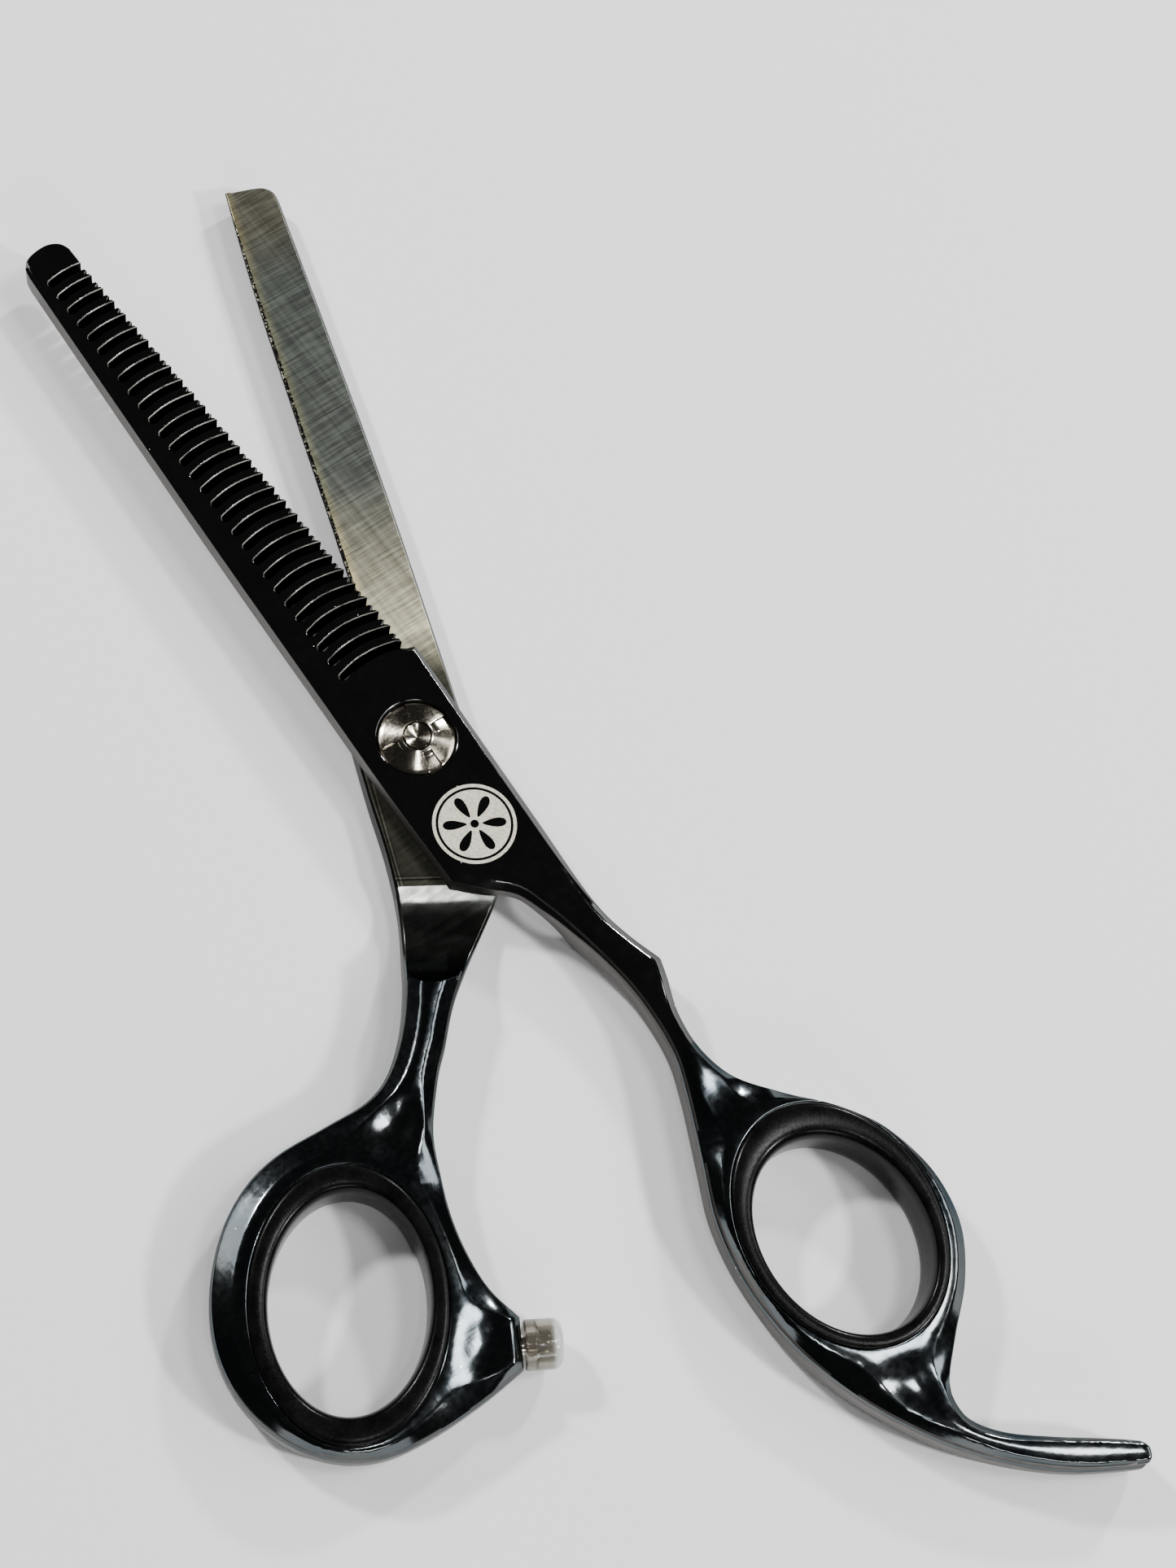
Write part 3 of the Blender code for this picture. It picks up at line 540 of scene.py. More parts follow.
def offset_lines(points, outer, rim, insets):
    """Lines that follow an outline at these distances inside it, broken where they would cross
    one another or come near the ring's opening."""
    place, mitre, _ = points
    loop, opening = [outer], [oval(rim)]
    lines = []
    for inset in insets:
        moved = place + mitre * inset
        good = (distance(moved, loop) > inset - 0.02) & inside(moved, loop)
        good &= ~inside(moved, opening) & (distance(moved, opening) > 0.3)
        lines += stretches(moved, good & (moved[:, 1] < outer[:, 1].max() - 4), 0.05)
    return lines


def rim_lines(rim, outline):
    """Broken lines round a ring's opening, a little outside its rim."""
    lines = []
    for gap in (0.35, 0.7, 1.1):
        x, y, half_length, half_width, lean = rim
        loop = oval((x, y, half_length + gap, half_width + gap, lean), 240)
        lines += stretches(loop, inside(loop, outline) & (distance(loop, outline) > 0.42))
    return lines


def cross_line(distance_out, lean, half=14, step=0.7):
    out = np.array([sin(lean), -cos(lean)])
    side = np.array([cos(lean), sin(lean)])
    return np.array([out * distance_out + s * side for s in np.arange(-half, half, step)])


def square_grid(x0, x1, y0, y1, step):
    return np.array([(x, y) for x in np.arange(x0, x1, step) for y in np.arange(y0, y1, step)])


FINE = 0.36
RASTER = 0.11

# Section across a handle: fall at the foot of the flank and at the ridge, and where these are.
FLANK_START, FLANK_DROP, CROWN_DROP, CROWN_WIDTH = 0.3, 1.15, 0.15, 1.3
RING_RIDGE, RIDGE_SHARE, RING_REACH = 2.3, 0.62, (2.2, 6.5)
RIDGE_BLUR, WEB_BLUR = 0.11, 0.9

# Hollows ground into the webs, by how far a place is from both the edge and the ring's opening.
WEB_DEPTH, WEB_ROOM, WEB_REACH = 1.0, (0.7, 2.4), (5.5, 10)
INSETS = (0.6, 0.9, 1.05, 1.15, 1.25, 1.4, 1.7, 2.1, 2.25, 2.4)


def toothed_half():
    runs = [(TOOTHED_TIP, 0.35), (TOOTHED_SPINE, 3), (TOOTHED_LOW, 0.8), (TANG_END, 0.5)]
    runs += [(TOOTHED_HIGH, 0.8), (TOOTHED_RIGHT, 0.9)]
    outer = [point for points, step in runs for point in curve(points, step)] + toothed_edge()
    outline = [np.array(outer)]

    def handle(flat):
        return 1 - smooth_step(flat[:, 1], *TOOTHED_BLEND)

    def shank_ridge(flat):
        return 0.5 + 0.6 * smooth_step(flat[:, 1], -96, -86)

    grip = below(outer, -6)
    fall = handle_raster((-9, -103, 18, -10), grip, FINGER_RIM, handle, shank_ridge)

    def top(flat):
        return UPPER_TOP - np.where(flat[:, 1] < -13, fall(flat), 0)

    def bottom(flat):
        along = flat[:, 0] * sin(SCOOP_LEAN) - flat[:, 1] * cos(SCOOP_LEAN)
        return np.maximum(UPPER_BOTTOM + LOWER_TOP - scoop_level(along), HANDLE_BOTTOM)

    points = corners(outer)
    place = points[0]
    slots = in_slots(place[:, 0], place[:, 1])
    chamfer = 0.35 + 0.4 * smooth_step(-place[:, 1], -30, 16)
    edge = edge_profile(points, chamfer, handle(place), slots, top, bottom)
    seat = seat_rows(FINGER_HOLE, FINGER_RIM, top, bottom)
    bore = round_rows(
        [(COUNTERBORE_R + 0.09, UPPER_TOP, 90), (COUNTERBORE_R + 0.03, UPPER_TOP - 0.02, 45),
         (COUNTERBORE_R, UPPER_TOP - 0.08, 0), (COUNTERBORE_R, COUNTERBORE_FLOOR + 0.03, 0),
         (COUNTERBORE_R - 0.03, COUNTERBORE_FLOOR, 90), (BORE_R + 0.03, COUNTERBORE_FLOOR, 90),
         (BORE_R, COUNTERBORE_FLOOR - 0.05, 0), (BORE_R, UPPER_BOTTOM + 0.08, 0),
         (BORE_R + 0.08, UPPER_BOTTOM, -90)]
    )
    handle_grid = square_grid(-8, 17, -102, -14, FINE)
    under_grid = square_grid(-8, 17, -102, -14, 1.2)
    along_handle = offset_lines(corners(grip), grip, FINGER_RIM, INSETS)
    along_handle += rim_lines(FINGER_RIM, outline)
    creases = [cross_line(reach, SCOOP_LEAN) for reach in (*SCOOP_SIDES, 26.0, 26.1)]
    creases = [line[inside(line, outline) & (distance(line, outline) > 1.6)] for line in creases]
    return slab(
        "toothed_half", [edge, seat, bore], top, bottom, handle_grid, under_grid, along_handle, creases
    )


GRIND_DEPTH, GRIND_WIDTH = 2.7, 3.4


def plain_half():
    runs = [(PLAIN_TIP, 0.35), (PLAIN_EDGE, 3), (PLAIN_HEEL, 0.8), (PLAIN_LEFT, 0.8)]
    runs += [(BOSS_END, 1.0), (PLAIN_RIGHT, 0.8), (PLAIN_SPINE, 3)]
    outer = [point for points, step in runs for point in curve(points[::-1], step)]
    outline = [np.array(outer)]
    edge_line = [np.array(PLAIN_EDGE)]

    def handle(flat):
        return 1 - smooth_step(flat[:, 1], *PLAIN_BLEND)

    def one(flat):
        return np.ones(len(flat))

    def shank_ridge(flat):
        return 1.0 + 0.65 * smooth_step(flat[:, 1], -40, -34)

    grip = below(outer, -14)
    fall = handle_raster((-36, -70, 8, -18), grip, THUMB_RIM, one, shank_ridge)

    def top(flat):
        along = -flat[:, 0] * sin(SCOOP_LEAN) - flat[:, 1] * cos(SCOOP_LEAN)
        return np.minimum(scoop_level(along), UPPER_TOP - fall(flat))

    def bottom(flat):
        on_handle = handle(flat)
        grind = GRIND_DEPTH * np.clip(1 - distance(flat, edge_line, closed=False) / GRIND_WIDTH, 0, 1)
        grind = grind * smooth_step(flat[:, 1], 6, 16)
        return np.maximum(on_handle * HANDLE_BOTTOM, grind)

    def neck_end(shift):
        """Line where the scoop runs out on the handle's face, moved this far along the handle."""
        out = np.array([-sin(SCOOP_LEAN), -cos(SCOOP_LEAN)])
        side = np.array([cos(SCOOP_LEAN), -sin(SCOOP_LEAN)])
        reach = np.arange(23.5, 27.2, 0.01)
        line = []
        for across in np.arange(-3.6, 5.2, 0.15):
            flat = reach[:, None] * out + across * side
            meets = scoop_level(reach) >= UPPER_TOP - fall(flat)
            line.append(flat[np.argmax(meets)] + shift * out)
        return np.array(line)

    points = corners(outer)
    place = points[0]
    none = np.zeros(len(place), bool)
    cutting = distance(place, edge_line, closed=False) < 0.5
    chamfer = np.where(cutting, 0.1, 0.28)
    edge = edge_profile(points, chamfer, handle(place), none, top, bottom, 0.06)
    seat = seat_rows(THUMB_HOLE, THUMB_RIM, top, bottom)
    bore = round_rows(PLAIN_BORE)
    grid = square_grid(-36, 7, -70, -14, FINE)
    under = np.concatenate([square_grid(-36, 7, -70, -14, 1.2), square_grid(-3, 6, 10, 70, 1.6)])
    lines = [cross_line(reach, -SCOOP_LEAN) for reach in (*SCOOP_SIDES, SCOOP_CREASE)]
    lines += [neck_end(shift) for shift in (-0.05, 0.05)]
    lines = [line[inside(line, outline) & (distance(line, outline) > 0.6)] for line in lines]
    grip = below(outer, -20)
    lines += offset_lines(corners(grip), grip, THUMB_RIM, INSETS) + rim_lines(THUMB_RIM, outline)
    return slab("plain_half", [edge, seat, bore], top, bottom, grid, under, lines, ())


# ---- turned and moulded pieces


def creased_mesh(name, points, faces, crisp):
    """A body shaded smooth but for the edges that turn by more than this many degrees."""
    mesh = bpy.data.meshes.new(name)
    mesh.from_pydata([tuple(MM * float(c) for c in p) for p in points], [], faces)
    mesh.polygons.foreach_set("use_smooth", [True] * len(mesh.polygons))
    mesh.set_sharp_from_angle(angle=radians(crisp))
    return new_object(name, mesh)


def ring_faces(rows, count):
    """Faces of a ring whose section has this many rows, each of this many points."""
    faces = []
    for k in range(rows):
        m = (k + 1) % rows
        for i in range(count):
            j = (i + 1) % count
            faces.append((k * count + j, k * count + i, m * count + i, m * count + j))
    return faces


def turned(name, profile, steps=96, place=None):
    """Turns a (radius, height) profile that begins and ends on the Z axis."""
    points, faces, rows = [], [], []
    for radius, height in profile:
        if radius == 0:
            rows.append([len(points)] * steps)
            points.append((0, 0, height))
        else:
            rows.append(list(range(len(points), len(points) + steps)))
            points += [(radius * cos(t), radius * sin(t), height) for t in np.arange(steps) * 2 * pi / steps]
    for a, b in zip(rows, rows[1:]):
        for i in range(steps):
            j = (i + 1) % steps
            face = list(dict.fromkeys([a[i], a[j], b[j], b[i]]))
            if len(face) > 2:
                faces.append(face)
    if place:
        points = [tuple(place @ Vector(p)) for p in points]
    return creased_mesh(name, points, faces, 32)


def insert(name, hole, rim):
    """Rubber bush with a lip over both faces of its ring."""
    section = [
        (0.30, 0.05), (0.12, 0.2), (0.03, 0.6), (0, 1.5), (-0.01, 3.3), (0, 5.0), (0.03, 5.9), (0.10, 6.4),
        (0.17, 6.62), (0.25, 6.72), (0.34, 6.77), (0.42, 6.8), (0.55, 6.83), (0.72, 6.83), (0.84, 6.79),
        (0.92, 6.7), (0.955, 6.58), (0.955, 6.3), (0.60, 6.27), (0.58, 3.3), (0.60, 0.35), (0.955, 0.3),
        (0.955, 0.12), (0.9, 0.03), (0.8, 0), (0.5, 0),
    ]
    points = []
    for share, height in section:
        points += [(x, y, height) for x, y in between(hole, rim, share)]
    return creased_mesh(name, points, ring_faces(len(section), RING_POINTS), 50)


def bumper_place():
    turn = Matrix.Rotation(pi / 2, 4, "Y")
    lean = Matrix.Rotation(BUMPER_LEAN, 4, "Z")
    return Matrix.Translation((*BUMPER_BASE, BUMPER_Z)) @ lean @ turn


DIAL_BORE, DIAL_R, DIAL_FOOT, DIAL_TOP, DIAL_FALL = 1.55, 4.03, 5.65, 7.15, 0.8
DIAL_FACE = [1.68, 1.9, 2.0, 2.1, 2.2, 2.3, 2.7, 3.1, 3.5, 3.86]
GROOVE_TURN, GROOVE_DEPTH = 16, 0.3


def dial_height(radius, angle):
    """Conical face of the dial with four shallow grooves that widen outwards."""
    cone = DIAL_TOP - DIAL_FALL * np.clip((radius - 1.65) / 2.3, 0, 1)
    turn = (angle - radians(GROOVE_TURN - OPEN_ANGLE)) % (pi / 2)
    turn = np.minimum(turn, pi / 2 - turn)
    off = radius * np.sin(turn)
    edge = 0.2 + 0.13 * radius
    return cone - GROOVE_DEPTH * smooth_step(radius, 1.9, 2.3) * (1 - smooth_step(off, edge, edge + 0.07))


def dial(steps=480):
    """The dial as rows of points: its bore, its grooved face, its rounded rim and its foot."""
    angles = np.arange(steps) * 2 * pi / steps
    rim = dial_height(DIAL_FACE[-1], angles)
    rows = [(DIAL_BORE, np.full(steps, height)) for height in (DIAL_FOOT, 7.08)]
    rows += [(radius, dial_height(radius, angles)) for radius in DIAL_FACE]
    rows += [(3.98, rim - 0.08), (DIAL_R, rim - 0.2), (DIAL_R, np.full(steps, DIAL_FOOT))]
    points = []
    for radius, heights in rows:
        points += [(radius * cos(a), radius * sin(a), h) for a, h in zip(angles, heights)]
    return creased_mesh("dial", points, ring_faces(len(rows), steps), 24)


EMBLEM_AT = (-0.7, -11.0)


def emblem():
    """Frosted rosette on the body: a ring round a disc from which six petals are left out."""
    centre = np.array(EMBLEM_AT)
    z0, z1 = UPPER_TOP - 0.02, UPPER_TOP + 0.012

    def ring(radius, count, turn=1):
        t = turn * np.arange(count) * 2 * pi / count
        return centre + radius * np.stack([np.cos(t), np.sin(t)], 1)

    def petal(angle):
        t = np.linspace(0, 2 * pi, 36, endpoint=False)[::-1]
        along = 2.05 + 1.25 * np.cos(t)
        across = 0.62 * np.sin(t) * (0.75 + 0.35 * np.cos(t))
        c, s = cos(angle), sin(angle)
        return centre + np.stack([along * c - across * s, along * s + across * c], 1)

    outer = [ring(4.35, 120), ring(4.0, 120, -1)]
    disc = [ring(3.72, 120)] + [petal(k * pi / 3 + pi / 6) for k in range(6)] + [ring(0.45, 24, -1)]
    made, nothing = [], np.zeros((0, 2))
    for name, loops in (("emblem_ring", outer), ("emblem_disc", disc)):
        rows = []
        for loop in loops:
            up = np.tile([0, 0, 1.0], (len(loop), 1))
            rows.append(([loop, loop], [np.full(len(loop), z1), np.full(len(loop), z0)], [up, -up]))
        top, bottom = (lambda p: np.full(len(p), z1)), (lambda p: np.full(len(p), z0))
        made.append(slab(name, rows, top, bottom, nothing, nothing))
    return made


# ---- materials


class Look:
    """A material being built, with short calls for the nodes that the materials share. Places
    are the object's own, and a colour may be one number for a grey."""

    def __init__(self, name, metallic=1, rim=None):
        self.material = bpy.data.materials.new(name)
        self.material.use_nodes = True
        self.nodes, self.links = self.material.node_tree.nodes, self.material.node_tree.links
        self.shader = self.nodes["Principled BSDF"]
        self.shader.inputs["Metallic"].default_value = metallic
        if rim is not None:
            self.shader.inputs["Specular Tint"].default_value = (rim, rim, rim, 1)

    def feed(self, socket, value):
        """Links the socket to an output, or sets it to a constant."""
        if isinstance(value, bpy.types.NodeSocket):
            self.links.new(value, socket)
        else:
            socket.default_value = value

    def add(self, kind, output, inputs, **settings):
        """The named output of a new node."""
        made = self.nodes.new(kind)
        for key, value in settings.items():
            setattr(made, key, value)
        for key, value in inputs.items():
            self.feed(made.inputs[key], value)
        return made.outputs[output]

    def coords(self, scale=(1, 1, 1), turn=0.0):
        place = self.add("ShaderNodeTexCoord", "Object", {})
        inputs = {"Vector": place, "Scale": scale, "Rotation": (0, 0, turn)}
        return self.add("ShaderNodeMapping", "Vector", inputs)

    def millimetres(self, turn=0.0):
        split = self.nodes.new("ShaderNodeSeparateXYZ")
        self.links.new(self.coords((1000, 1000, 1000), turn), split.inputs["Vector"])
        return [split.outputs[axis] for axis in "XYZ"]

    def noise(self, scale, stretch=(1, 1, 1), detail=4.0, turn=0.0, distortion=0.0):
        inputs = {"Vector": self.coords(stretch, turn), "Scale": scale, "Detail": detail}
        return self.add("ShaderNodeTexNoise", "Fac", {**inputs, "Distortion": distortion})

    def ramp(self, value, *stops):
        made = self.nodes.new("ShaderNodeValToRGB")
        elements = made.color_ramp.elements
        while len(elements) < len(stops):
            elements.new(0.5)
        for element, (place, colour) in zip(elements, stops):
            element.position = place
            element.color = (*colour, 1) if isinstance(colour, tuple) else (colour, colour, colour, 1)
        self.links.new(value, made.inputs["Fac"])
        return made.outputs["Color"]

    def spread(self, value, low, high):
        return self.ramp(value, (0.3, low), (0.7, high))

    def math(self, operation, *values):
        return self.add("ShaderNodeMath", "Value", dict(enumerate(values)), operation=operation)

    def plus(self, a, b):
        return self.math("ADD", a, b)

    def times(self, a, b):
        return self.math("MULTIPLY", a, b)

    def mixed(self, share, a, b):
        inputs = {"Factor": share, "A": a, "B": b}
        return self.add("ShaderNodeMix", "Result", inputs, data_type="RGBA")

    def tinted(self, a, b):
        inputs = {"Factor": 1, "A": a, "B": b}
        return self.add("ShaderNodeMix", "Result", inputs, data_type="RGBA", blend_type="MULTIPLY")

    def specks(self, cell, size, share):
        """1 on small round specks of dust, one in some of the cells of this size in millimetres."""
        made = self.nodes.new("ShaderNodeTexVoronoi")
        made.inputs["Scale"].default_value = 1000 / cell
        self.links.new(self.coords(), made.inputs["Vector"])
        near = self.math("LESS_THAN", made.outputs["Distance"], size / cell)
        red = self.add("ShaderNodeSeparateColor", "Red", {"Color": made.outputs["Color"]})
        return self.times(near, self.math("LESS_THAN", red, share))

    def dusted(self, tint, cloud, cell):
        """The tint with pale specks on it."""
        pale = self.spread(cloud, (0.6, 0.6, 0.55), (0.8, 0.8, 0.75))
        return self.mixed(self.specks(cell, 0.06, 0.3), tint, pale)

    def bump(self, height, strength, depth):
        inputs = {"Height": height, "Strength": strength, "Distance": depth}
        self.links.new(self.add("ShaderNodeBump", "Normal", inputs), self.shader.inputs["Normal"])

    def surface(self, base, roughness):
        """Sets the colour and the roughness, and gives the material."""
        self.feed(self.shader.inputs["Base Color"], base)
        self.feed(self.shader.inputs["Roughness"], roughness)
        return self.material


def polished_steel():
    """Mirror polish with dust, hairline scratches and swirl marks between the slots and the dial."""
    look = Look("dark_polished_steel", rim=0.3)
    tint = look.spread(look.noise(260, detail=5), (0.145, 0.147, 0.15), (0.185, 0.186, 0.186))
    dust = look.specks(1.5, 0.065, 0.3)
    base = look.mixed(dust, tint, (0.75, 0.74, 0.7, 1))
    scratch = look.noise(1500, (1, 0.04, 1), 2, 0.7)
    swirl = look.noise(420, (1, 3, 1), 3, 0.5, 2.5)
    ridges = look.math("SINE", look.times(swirl, 60))
    places = {0: look.coords(), 1: (-0.0015, 0.0062, 0.0066)}
    away = look.add("ShaderNodeVectorMath", "Value", places, operation="DISTANCE")
    near = look.ramp(look.times(away, 100), (0.15, 0.16), (0.55, 0.02))
    look.bump(look.plus(look.times(scratch, 0.1), look.times(ridges, near)), 0.35, 0.00002)
    rough = look.ramp(look.noise(900, detail=3), (0.35, 0.05), (0.75, 0.12))
    return look.surface(base, look.plus(rough, look.times(dust, 0.5)))


def satin_wall():
    """Brushed side walls of both halves."""
    look = Look("brushed_wall")
    grain = look.noise(1500, (1, 0.05, 1))
    look.bump(grain, 0.3, 0.00002)
    return look.surface(look.spread(grain, (0.07, 0.066, 0.063), (0.11, 0.105, 0.10)), 0.42)


def slot_wall_painted_light():
    """Walls of the slots: dark with painted shade, and bright along their lower edge with a painted
    highlight.
    """
    look = Look("slot_wall", rim=0.1)
    height = look.plus(look.millimetres()[2], look.times(look.noise(1500), 0.3))
    level = look.times(look.plus(height, -UPPER_BOTTOM), 0.3)
    # Painted highlight on the lowest part of each wall, painted shade above it.
    tint = look.ramp(level, (0.1, (0.42, 0.41, 0.38)), (0.17, 0.022), (0.9, 0.035))
    return look.surface(tint, 0.25)


def slot_edge_painted_highlight():
    """Edges of the slots on their heel side, made bright by a painted highlight."""
    look = Look("slot_edge_painted_highlight")
    # Painted highlight, made patchy by noise.
    tint = look.ramp(look.noise(500), (0.35, (0.05, 0.05, 0.045)), (0.65, (0.26, 0.255, 0.23)))
    return look.surface(tint, 0.5)


def neck_steel():
    """Ground and polished scoop of the neck, brushed across."""
    look = Look("brushed_neck", rim=0.3)
    across = look.noise(1500, (0.05, 1, 1), 4, radians(OPEN_ANGLE) + SCOOP_LEAN)
    tint = look.spread(across, (0.07, 0.075, 0.07), (0.155, 0.16, 0.15))
    look.bump(across, 0.3, 0.00003)
    rough = look.spread(look.noise(500, detail=5), 0.14, 0.2)
    return look.surface(look.dusted(tint, across, 1.2), rough)


def handle_steel():
    """Hand polished steel: softer reflections than the body's, with scuffs and a few pits."""
    look = Look("hand_polished_steel", rim=0.3)
    cloud = look.noise(180, detail=5)
    tint = look.spread(cloud, (0.07, 0.086, 0.096), (0.108, 0.116, 0.118))
    scuffs = look.noise(1800, (1, 0.06, 1), 3, 0.5)
    more = look.noise(1500, (0.06, 1, 1), 3, 0.3)
    look.bump(look.plus(scuffs, more), 0.2, 0.00003)
    return look.surface(look.dusted(tint, cloud, 1.1), look.spread(look.noise(1600), 0.1, 0.16))


def ground_steel():
    """Ground face of the plain blade: brushed across and along, warm and bright at its heel with a painted
    reflection, with a dark bevel along its cutting edge, and a pad at the neck painted dark as shade, with a
    fine double border."""
    look = Look("ground_steel")
    plus, times, turn = look.plus, look.times, radians(OPEN_ANGLE)
    x, y, _ = look.millimetres(turn)
    blotch = look.noise(260, (1, 0.3, 1), 4, turn)
    # Along the blade: painted shade darkens the pad at the neck, and a painted reflection makes a bright warm
    # band at the heel.
    base = look.ramp(
        plus(plus(times(y, 0.0125), 0.15), times(blotch, 0.08)),
        (0.04, (0.055, 0.055, 0.042)), (0.28, (0.075, 0.074, 0.056)), (0.35, (0.85, 0.80, 0.58)),
        (0.46, (0.40, 0.385, 0.29)), (0.60, (0.15, 0.163, 0.145)), (0.92, (0.125, 0.137, 0.122)),
        (1.0, (0.16, 0.155, 0.12)),
    )
    across = look.noise(4500, (0.05, 1, 1), 5, turn)
    along = look.noise(1500, (1, 0.008, 1), 4, turn)
    grain = plus(times(across, 0.65), times(along, 0.35))
    tint = look.tinted(base, look.ramp(grain, (0.35, 0.84), (0.65, 1.2)))
    edge = plus(x, times(y, 0.0304))
    warm = look.ramp(times(plus(edge, 0.6), 0.7), (0.0, (2.0, 1.85, 1.35)), (0.7, 1.0))
    blade = look.math("GREATER_THAN", y, 11.5)
    tint = look.mixed(blade, tint, look.tinted(tint, warm))
    border = [
        (0.0, 1.5), (0.18, 1.5), (0.2, 0.45), (0.25, 0.45), (0.27, 2.2), (0.31, 2.2), (0.33, 0.6), (0.4, 1.0),
    ]
    beside_edge = look.ramp(times(plus(x, 6.1), 0.33), *border)
    out = plus(times(x, PLAIN_OUT.x), times(y, PLAIN_OUT.y))
    above_step = look.ramp(times(plus(times(out, -1), SCOOP_START), 0.33), *border)
    pad = look.tinted(look.tinted(tint, beside_edge), above_step)
    tint = look.mixed(blade, pad, tint)
    bevel = times(look.math("LESS_THAN", edge, -0.5), blade)
    dark = look.ramp(look.noise(4500, detail=2), (0.54, 0.01), (0.66, (0.5, 0.47, 0.35)))
    look.bump(grain, 0.4, 0.00002)
    return look.surface(look.mixed(bevel, tint, dark), look.ramp(grain, (0.35, 0.34), (0.65, 0.44)))


def bright_steel():
    look = Look("bright_steel")
    tint = look.spread(look.noise(1200, detail=3), (0.60, 0.57, 0.52), (0.74, 0.71, 0.65))
    return look.surface(tint, look.spread(look.noise(3000), 0.12, 0.22))


def dial_steel():
    """Turned steel with a slightly uneven face."""
    look = Look("turned_steel")
    cloud = look.noise(900, detail=3)
    look.bump(cloud, 0.15, 0.00005)
    tint = look.spread(cloud, (0.30, 0.27, 0.215), (0.40, 0.365, 0.30))
    return look.surface(tint, look.spread(look.noise(3000), 0.1, 0.2))


def frosted_steel():
    look = Look("frosted_etching", 0.6)
    grain = look.noise(6000, detail=2)
    look.bump(grain, 0.4, 0.00003)
    return look.surface(look.spread(grain, (0.38, 0.37, 0.29), (0.74, 0.72, 0.58)), 0.55)


def rubber():
    look = Look("black_rubber", 0)
    look.shader.inputs["Specular IOR Level"].default_value = 0.1
    fine = look.noise(4000, detail=3)
    look.bump(fine, 0.25, 0.00003)
    tint = look.ramp(look.noise(500, detail=6), (0.35, 0.0015), (0.75, 0.005))
    return look.surface(tint, look.spread(fine, 0.17, 0.28))


def silicone():
    """Clear grey silicone, milky towards the bumper's rounded end."""
    look = Look("grey_silicone", 0)
    look.shader.inputs["IOR"].default_value = 1.41
    cloud = look.noise(700, detail=3)
    x, y, _ = look.millimetres()
    base = OPEN @ Vector((*BUMPER_BASE, 0))
    lean = BUMPER_LEAN - radians(OPEN_ANGLE)
    far = look.plus(look.times(x, cos(lean)), look.times(y, sin(lean)))
    far = look.times(look.plus(far, -base.x * cos(lean) - base.y * sin(lean)), 0.25)
    clear_tint = look.spread(cloud, (0.30, 0.28, 0.23), (0.40, 0.375, 0.32))
    milky_tint = look.spread(cloud, (0.50, 0.53, 0.50), (0.6, 0.62, 0.6))
    tint = look.mixed(look.ramp(far, (0.68, 0), (0.78, 1)), clear_tint, milky_tint)
    clearness = look.ramp(far, (0.68, 0.88), (0.85, 0.45))
    look.links.new(clearness, look.shader.inputs["Transmission Weight"])
    return look.surface(tint, look.spread(cloud, 0.08, 0.16))


def plain(name, low, high, metallic, roughness):
    look = Look(name, metallic)
    return look.surface(look.spread(look.noise(900), low, high), roughness)


def paint(obj, *materials):
    obj.data.materials.clear()
    for material in materials:
        obj.data.materials.append(material)


def dress(obj, material):
    for slot_of in obj.material_slots:
        slot_of.material = material


# ---- assembly

steel, hand_polished, ground, bright = polished_steel(), handle_steel(), ground_steel(), bright_steel()
frosted, black, clear = frosted_steel(), rubber(), silicone()
bronze = plain("sintered_bronze", (0.35, 0.2, 0.09), (0.5, 0.32, 0.16), 1, 0.4)
nylon = plain("white_nylon", (0.68, 0.66, 0.6), (0.78, 0.76, 0.71), 0, 0.5)
wall, slot_painted_light, neck, dial_metal = satin_wall(), slot_wall_painted_light(), neck_steel(), dial_steel()
slot_edge_highlight = slot_edge_painted_highlight()

toothed = toothed_half()
paint(toothed, steel, hand_polished, wall, slot_painted_light, slot_edge_highlight)
for face in toothed.data.polygons:
    x, y, z = face.center / MM
    if y < RING_START_Y:
        face.material_index = 1 if abs(face.normal.z) > 0.3 else 2
        continue
    in_slot = in_slots(x, y)
    # Slot walls get the material with painted shade and a painted highlight; other walls get the brushed one.
    if abs(face.normal.z) < 0.35:
        face.material_index = 3 if in_slot else 2
    # Slot chamfers on the heel side that face the camera's side get the painted highlight.
    elif in_slot and z > 5 and face.normal.z < 0.85 and face.normal.y < 0:
        face.material_index = 4
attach(toothed, "toothed_half")
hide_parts("toothed_blade")

for piece in emblem():
    paint(piece, frosted)
    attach(piece, "toothed_half")


def own_piece(obj, node_name, slot_name, *materials):
    """Turns a piece of the plain half to the rest pose and gives it to its body."""
    normals = [OPEN.to_3x3() @ n.vector for n in obj.data.corner_normals]
    obj.data.transform(OPEN)
    obj.data.normals_split_custom_set(normals)
    paint(obj, *materials)
    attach(obj, "plain_half")
    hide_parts(node_name)
    return obj


plain_forging = own_piece(
    plain_half(), "plain_blade", "polished_steel", steel, hand_polished, ground, neck, wall
)
for face in plain_forging.data.polygons:
    x, y, z = OPEN.inverted() @ face.center / MM
    out = PLAIN_OUT @ Vector((x, y))
    # The pad under the toothed half takes the ground steel, whose colour ramp paints shade on it.
    if face.normal.z > 0.9 and out < SCOOP_START and abs(z - LOWER_TOP) < 0.02:
        face.material_index = 2
    elif SCOOP_START <= out < SCOOP_CREASE and face.normal.z > 0.6:
        face.material_index = 3
    elif y < NECK_START_Y:
        face.material_index = 1 if abs(face.normal.z) > 0.3 else 4

finger = insert("finger_bush", FINGER_HOLE, FINGER_RIM)
paint(finger, black)
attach(finger, "toothed_half")
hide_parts("finger_insert")
own_piece(insert("thumb_bush", THUMB_HOLE, THUMB_RIM), "thumb_insert", "black_rubber", black)

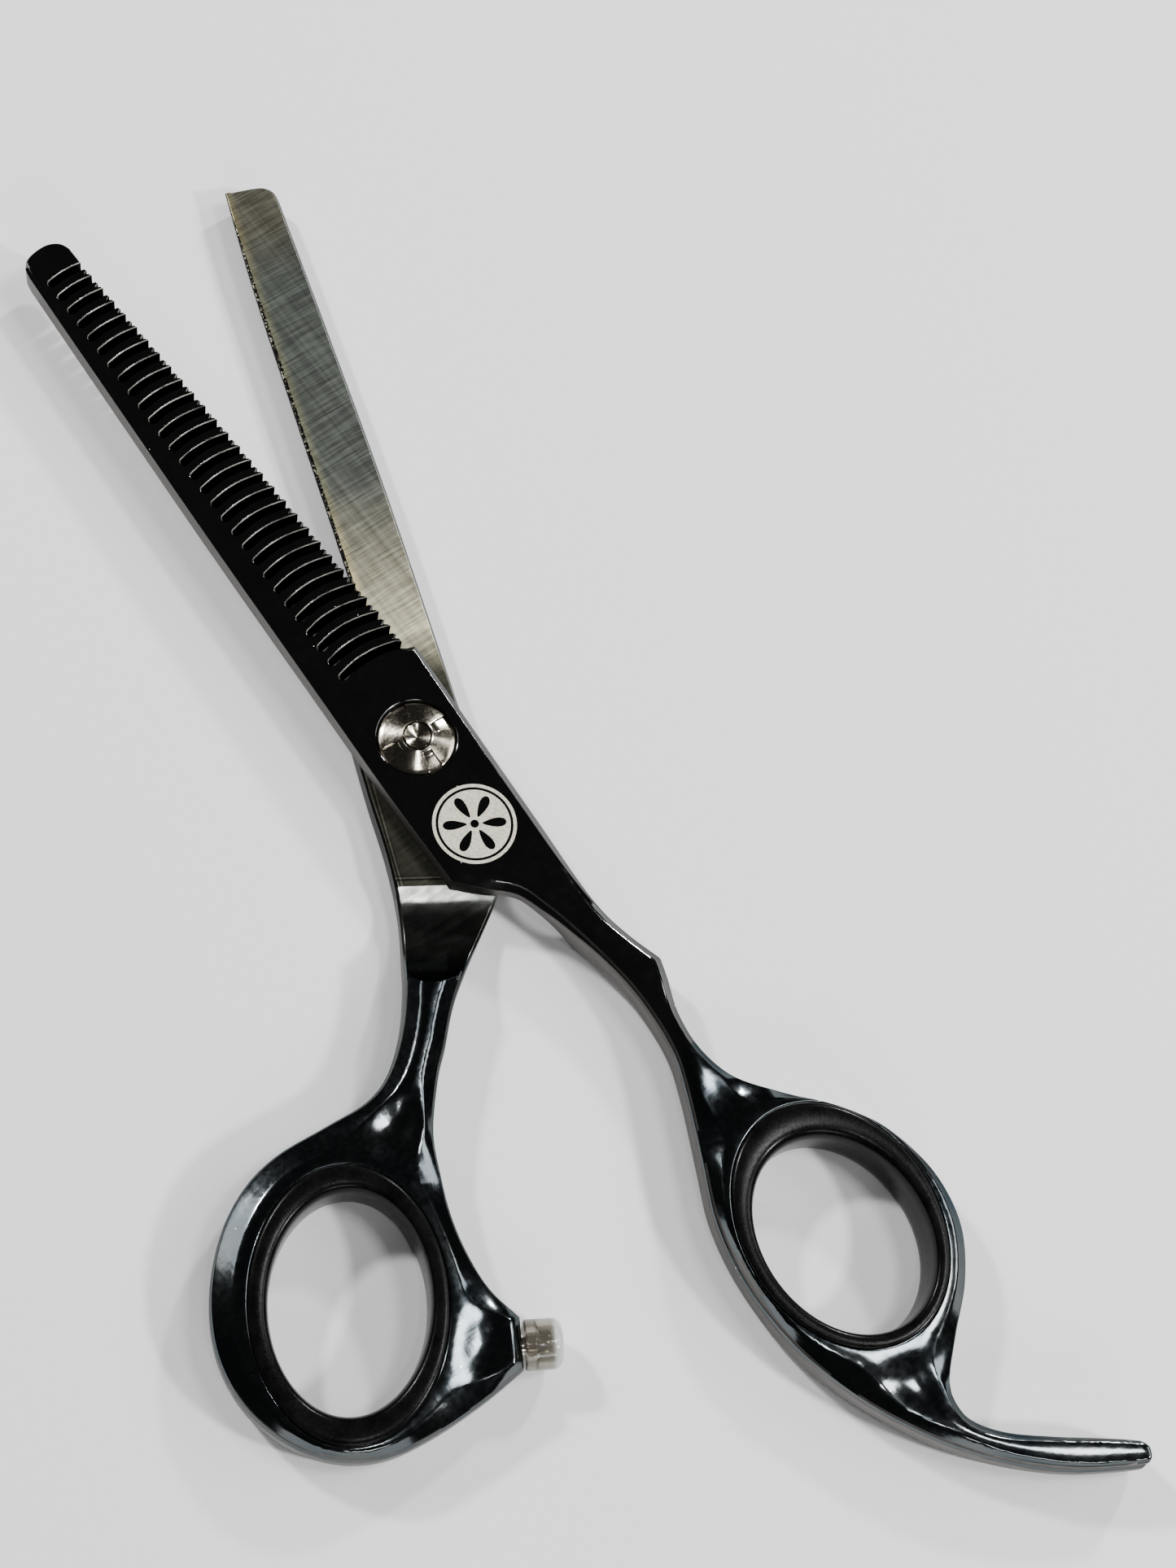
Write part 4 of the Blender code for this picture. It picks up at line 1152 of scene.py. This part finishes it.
screw = turned(
    "screw",
    [(0, 0), (0.4, 0), (3.75, 0), (3.92, 0.06), (4.0, 0.2), (4.0, 1.2), (2.1, 1.2), (2.1, 4.4), (1.45, 4.4),
     (1.45, 7.1), (1.41, 7.15), (1.36, 7.15), (1.31, 7.1), (1.28, 7.09), (0.04, 6.615), (0, 6.61)],
)
own_piece(screw, "pivot_screw", "bright_steel", dial_metal)

knob = dial()
paint(knob, dial_metal)
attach(knob, "dial")
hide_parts("tension_dial")

stud = turned(
    "stud",
    [(0, -0.05), (1.0, -0.05), (1.0, 1.7), (1.25, 1.75), (1.45, 1.9), (1.5, 2.1), (1.5, 2.5), (1.4, 2.7),
     (1.2, 2.8), (0, 2.8)],
    64, bumper_place(),
)
own_piece(stud, "bumper_stud", "bright_steel", bright)
silencer = turned(
    "silencer",
    [(0, 3.05), (1.75, 3.05), (1.75, 1.55), (1.2, 1.4), (1.2, 0.3), (2.25, 0.3), (2.4, 0.36), (2.45, 0.5),
     (2.45, 3.1), (2.38, 3.4), (2.2, 3.65), (1.95, 3.84), (1.6, 3.94), (1.0, 3.99), (0, 4.0)],
    80, bumper_place(),
)
own_piece(silencer, "bumper_cap", "grey_silicone", clear)

for name, material in (
    ("pivot_bush", bronze), ("glide_washer", nylon), ("click_plate", bright), ("tension_spring", bright)
):
    dress(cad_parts[name], material)

# ---- floor, lights and camera

FLOOR_REACH = 1.5
floor_mesh = bpy.data.meshes.new("floor")
sides = [(-1, -1), (1, -1), (1, 1), (-1, 1)]
floor_mesh.from_pydata([(FLOOR_REACH * x, FLOOR_REACH * y, 0) for x, y in sides], [], [(0, 1, 2, 3)])
floor = new_object("floor", floor_mesh)
paint(floor, plain("pale_floor", 0.80, 0.82, 0, 0.9))

world = bpy.data.worlds.new("studio")
world.use_nodes = True
world.node_tree.nodes["Background"].inputs["Color"].default_value = (1, 1, 1, 1)
world.node_tree.nodes["Background"].inputs["Strength"].default_value = 0.03
bpy.context.scene.world = world


def softbox(name, place, size, power, target=(0.01, -0.015, 0)):
    """A rectangular light of this size in metres and power in watts, facing its target."""
    light = bpy.data.lights.new(name, "AREA")
    light.shape = "RECTANGLE"
    light.size, light.size_y = size
    light.energy = power
    obj = new_object(name, light)
    obj.location = place
    obj.rotation_euler = (Vector(target) - Vector(place)).to_track_quat("-Z", "Y").to_euler()


IMAGE_UP = Vector((0.6077, 0.7942, 0))
IMAGE_RIGHT = Vector((0.7942, -0.6077, 0))


def around(right, up, height):
    """A place in metres by the picture's own right and up, above the floor."""
    return IMAGE_RIGHT * right + IMAGE_UP * up + Vector((0, 0, height))


softbox("lamp", (-0.05, -0.181, 0.6), (0.03, 0.022), 0.25, (-0.05, -0.181, 0))
softbox("tang_panel", (0.22, -0.17, 0.6), (0.15, 0.12), 1.6, (0.22, -0.17, 0))
softbox("left_panel", around(-0.95, 0.5, 0.75), (0.45, 0.35), 2)
softbox("right_panel", around(0.9, 0.2, 0.7), (0.5, 0.35), 4)
softbox("low_panel", around(0.25, -0.95, 0.5), (0.5, 0.2), 3)
softbox("key", around(-0.55, 0.45, 0.6), (0.08, 0.08), 7.5)
softbox("fill", around(0.7, -0.3, 0.6), (0.08, 0.08), 7.5)
softbox("back", around(0.5, 0.75, 0.6), (0.08, 0.08), 7)

camera_data = bpy.data.cameras.new("camera")
camera = new_object("camera", camera_data)
eye = Vector((-0.07236, -0.06649, 0.24236))
look = Vector((0.01293, -0.01333, 0.003))
forward = (look - eye).normalized()
side = forward.cross(IMAGE_UP).normalized()
rise = side.cross(forward)
turned_to = Matrix((side, rise, -forward)).transposed().to_4x4()
camera.matrix_world = Matrix.Translation(eye) @ turned_to
camera_data.sensor_fit = "VERTICAL"
camera_data.sensor_height = 36
camera_data.lens = 56.69
camera_data.clip_start = 0.01
bpy.context.scene.camera = camera
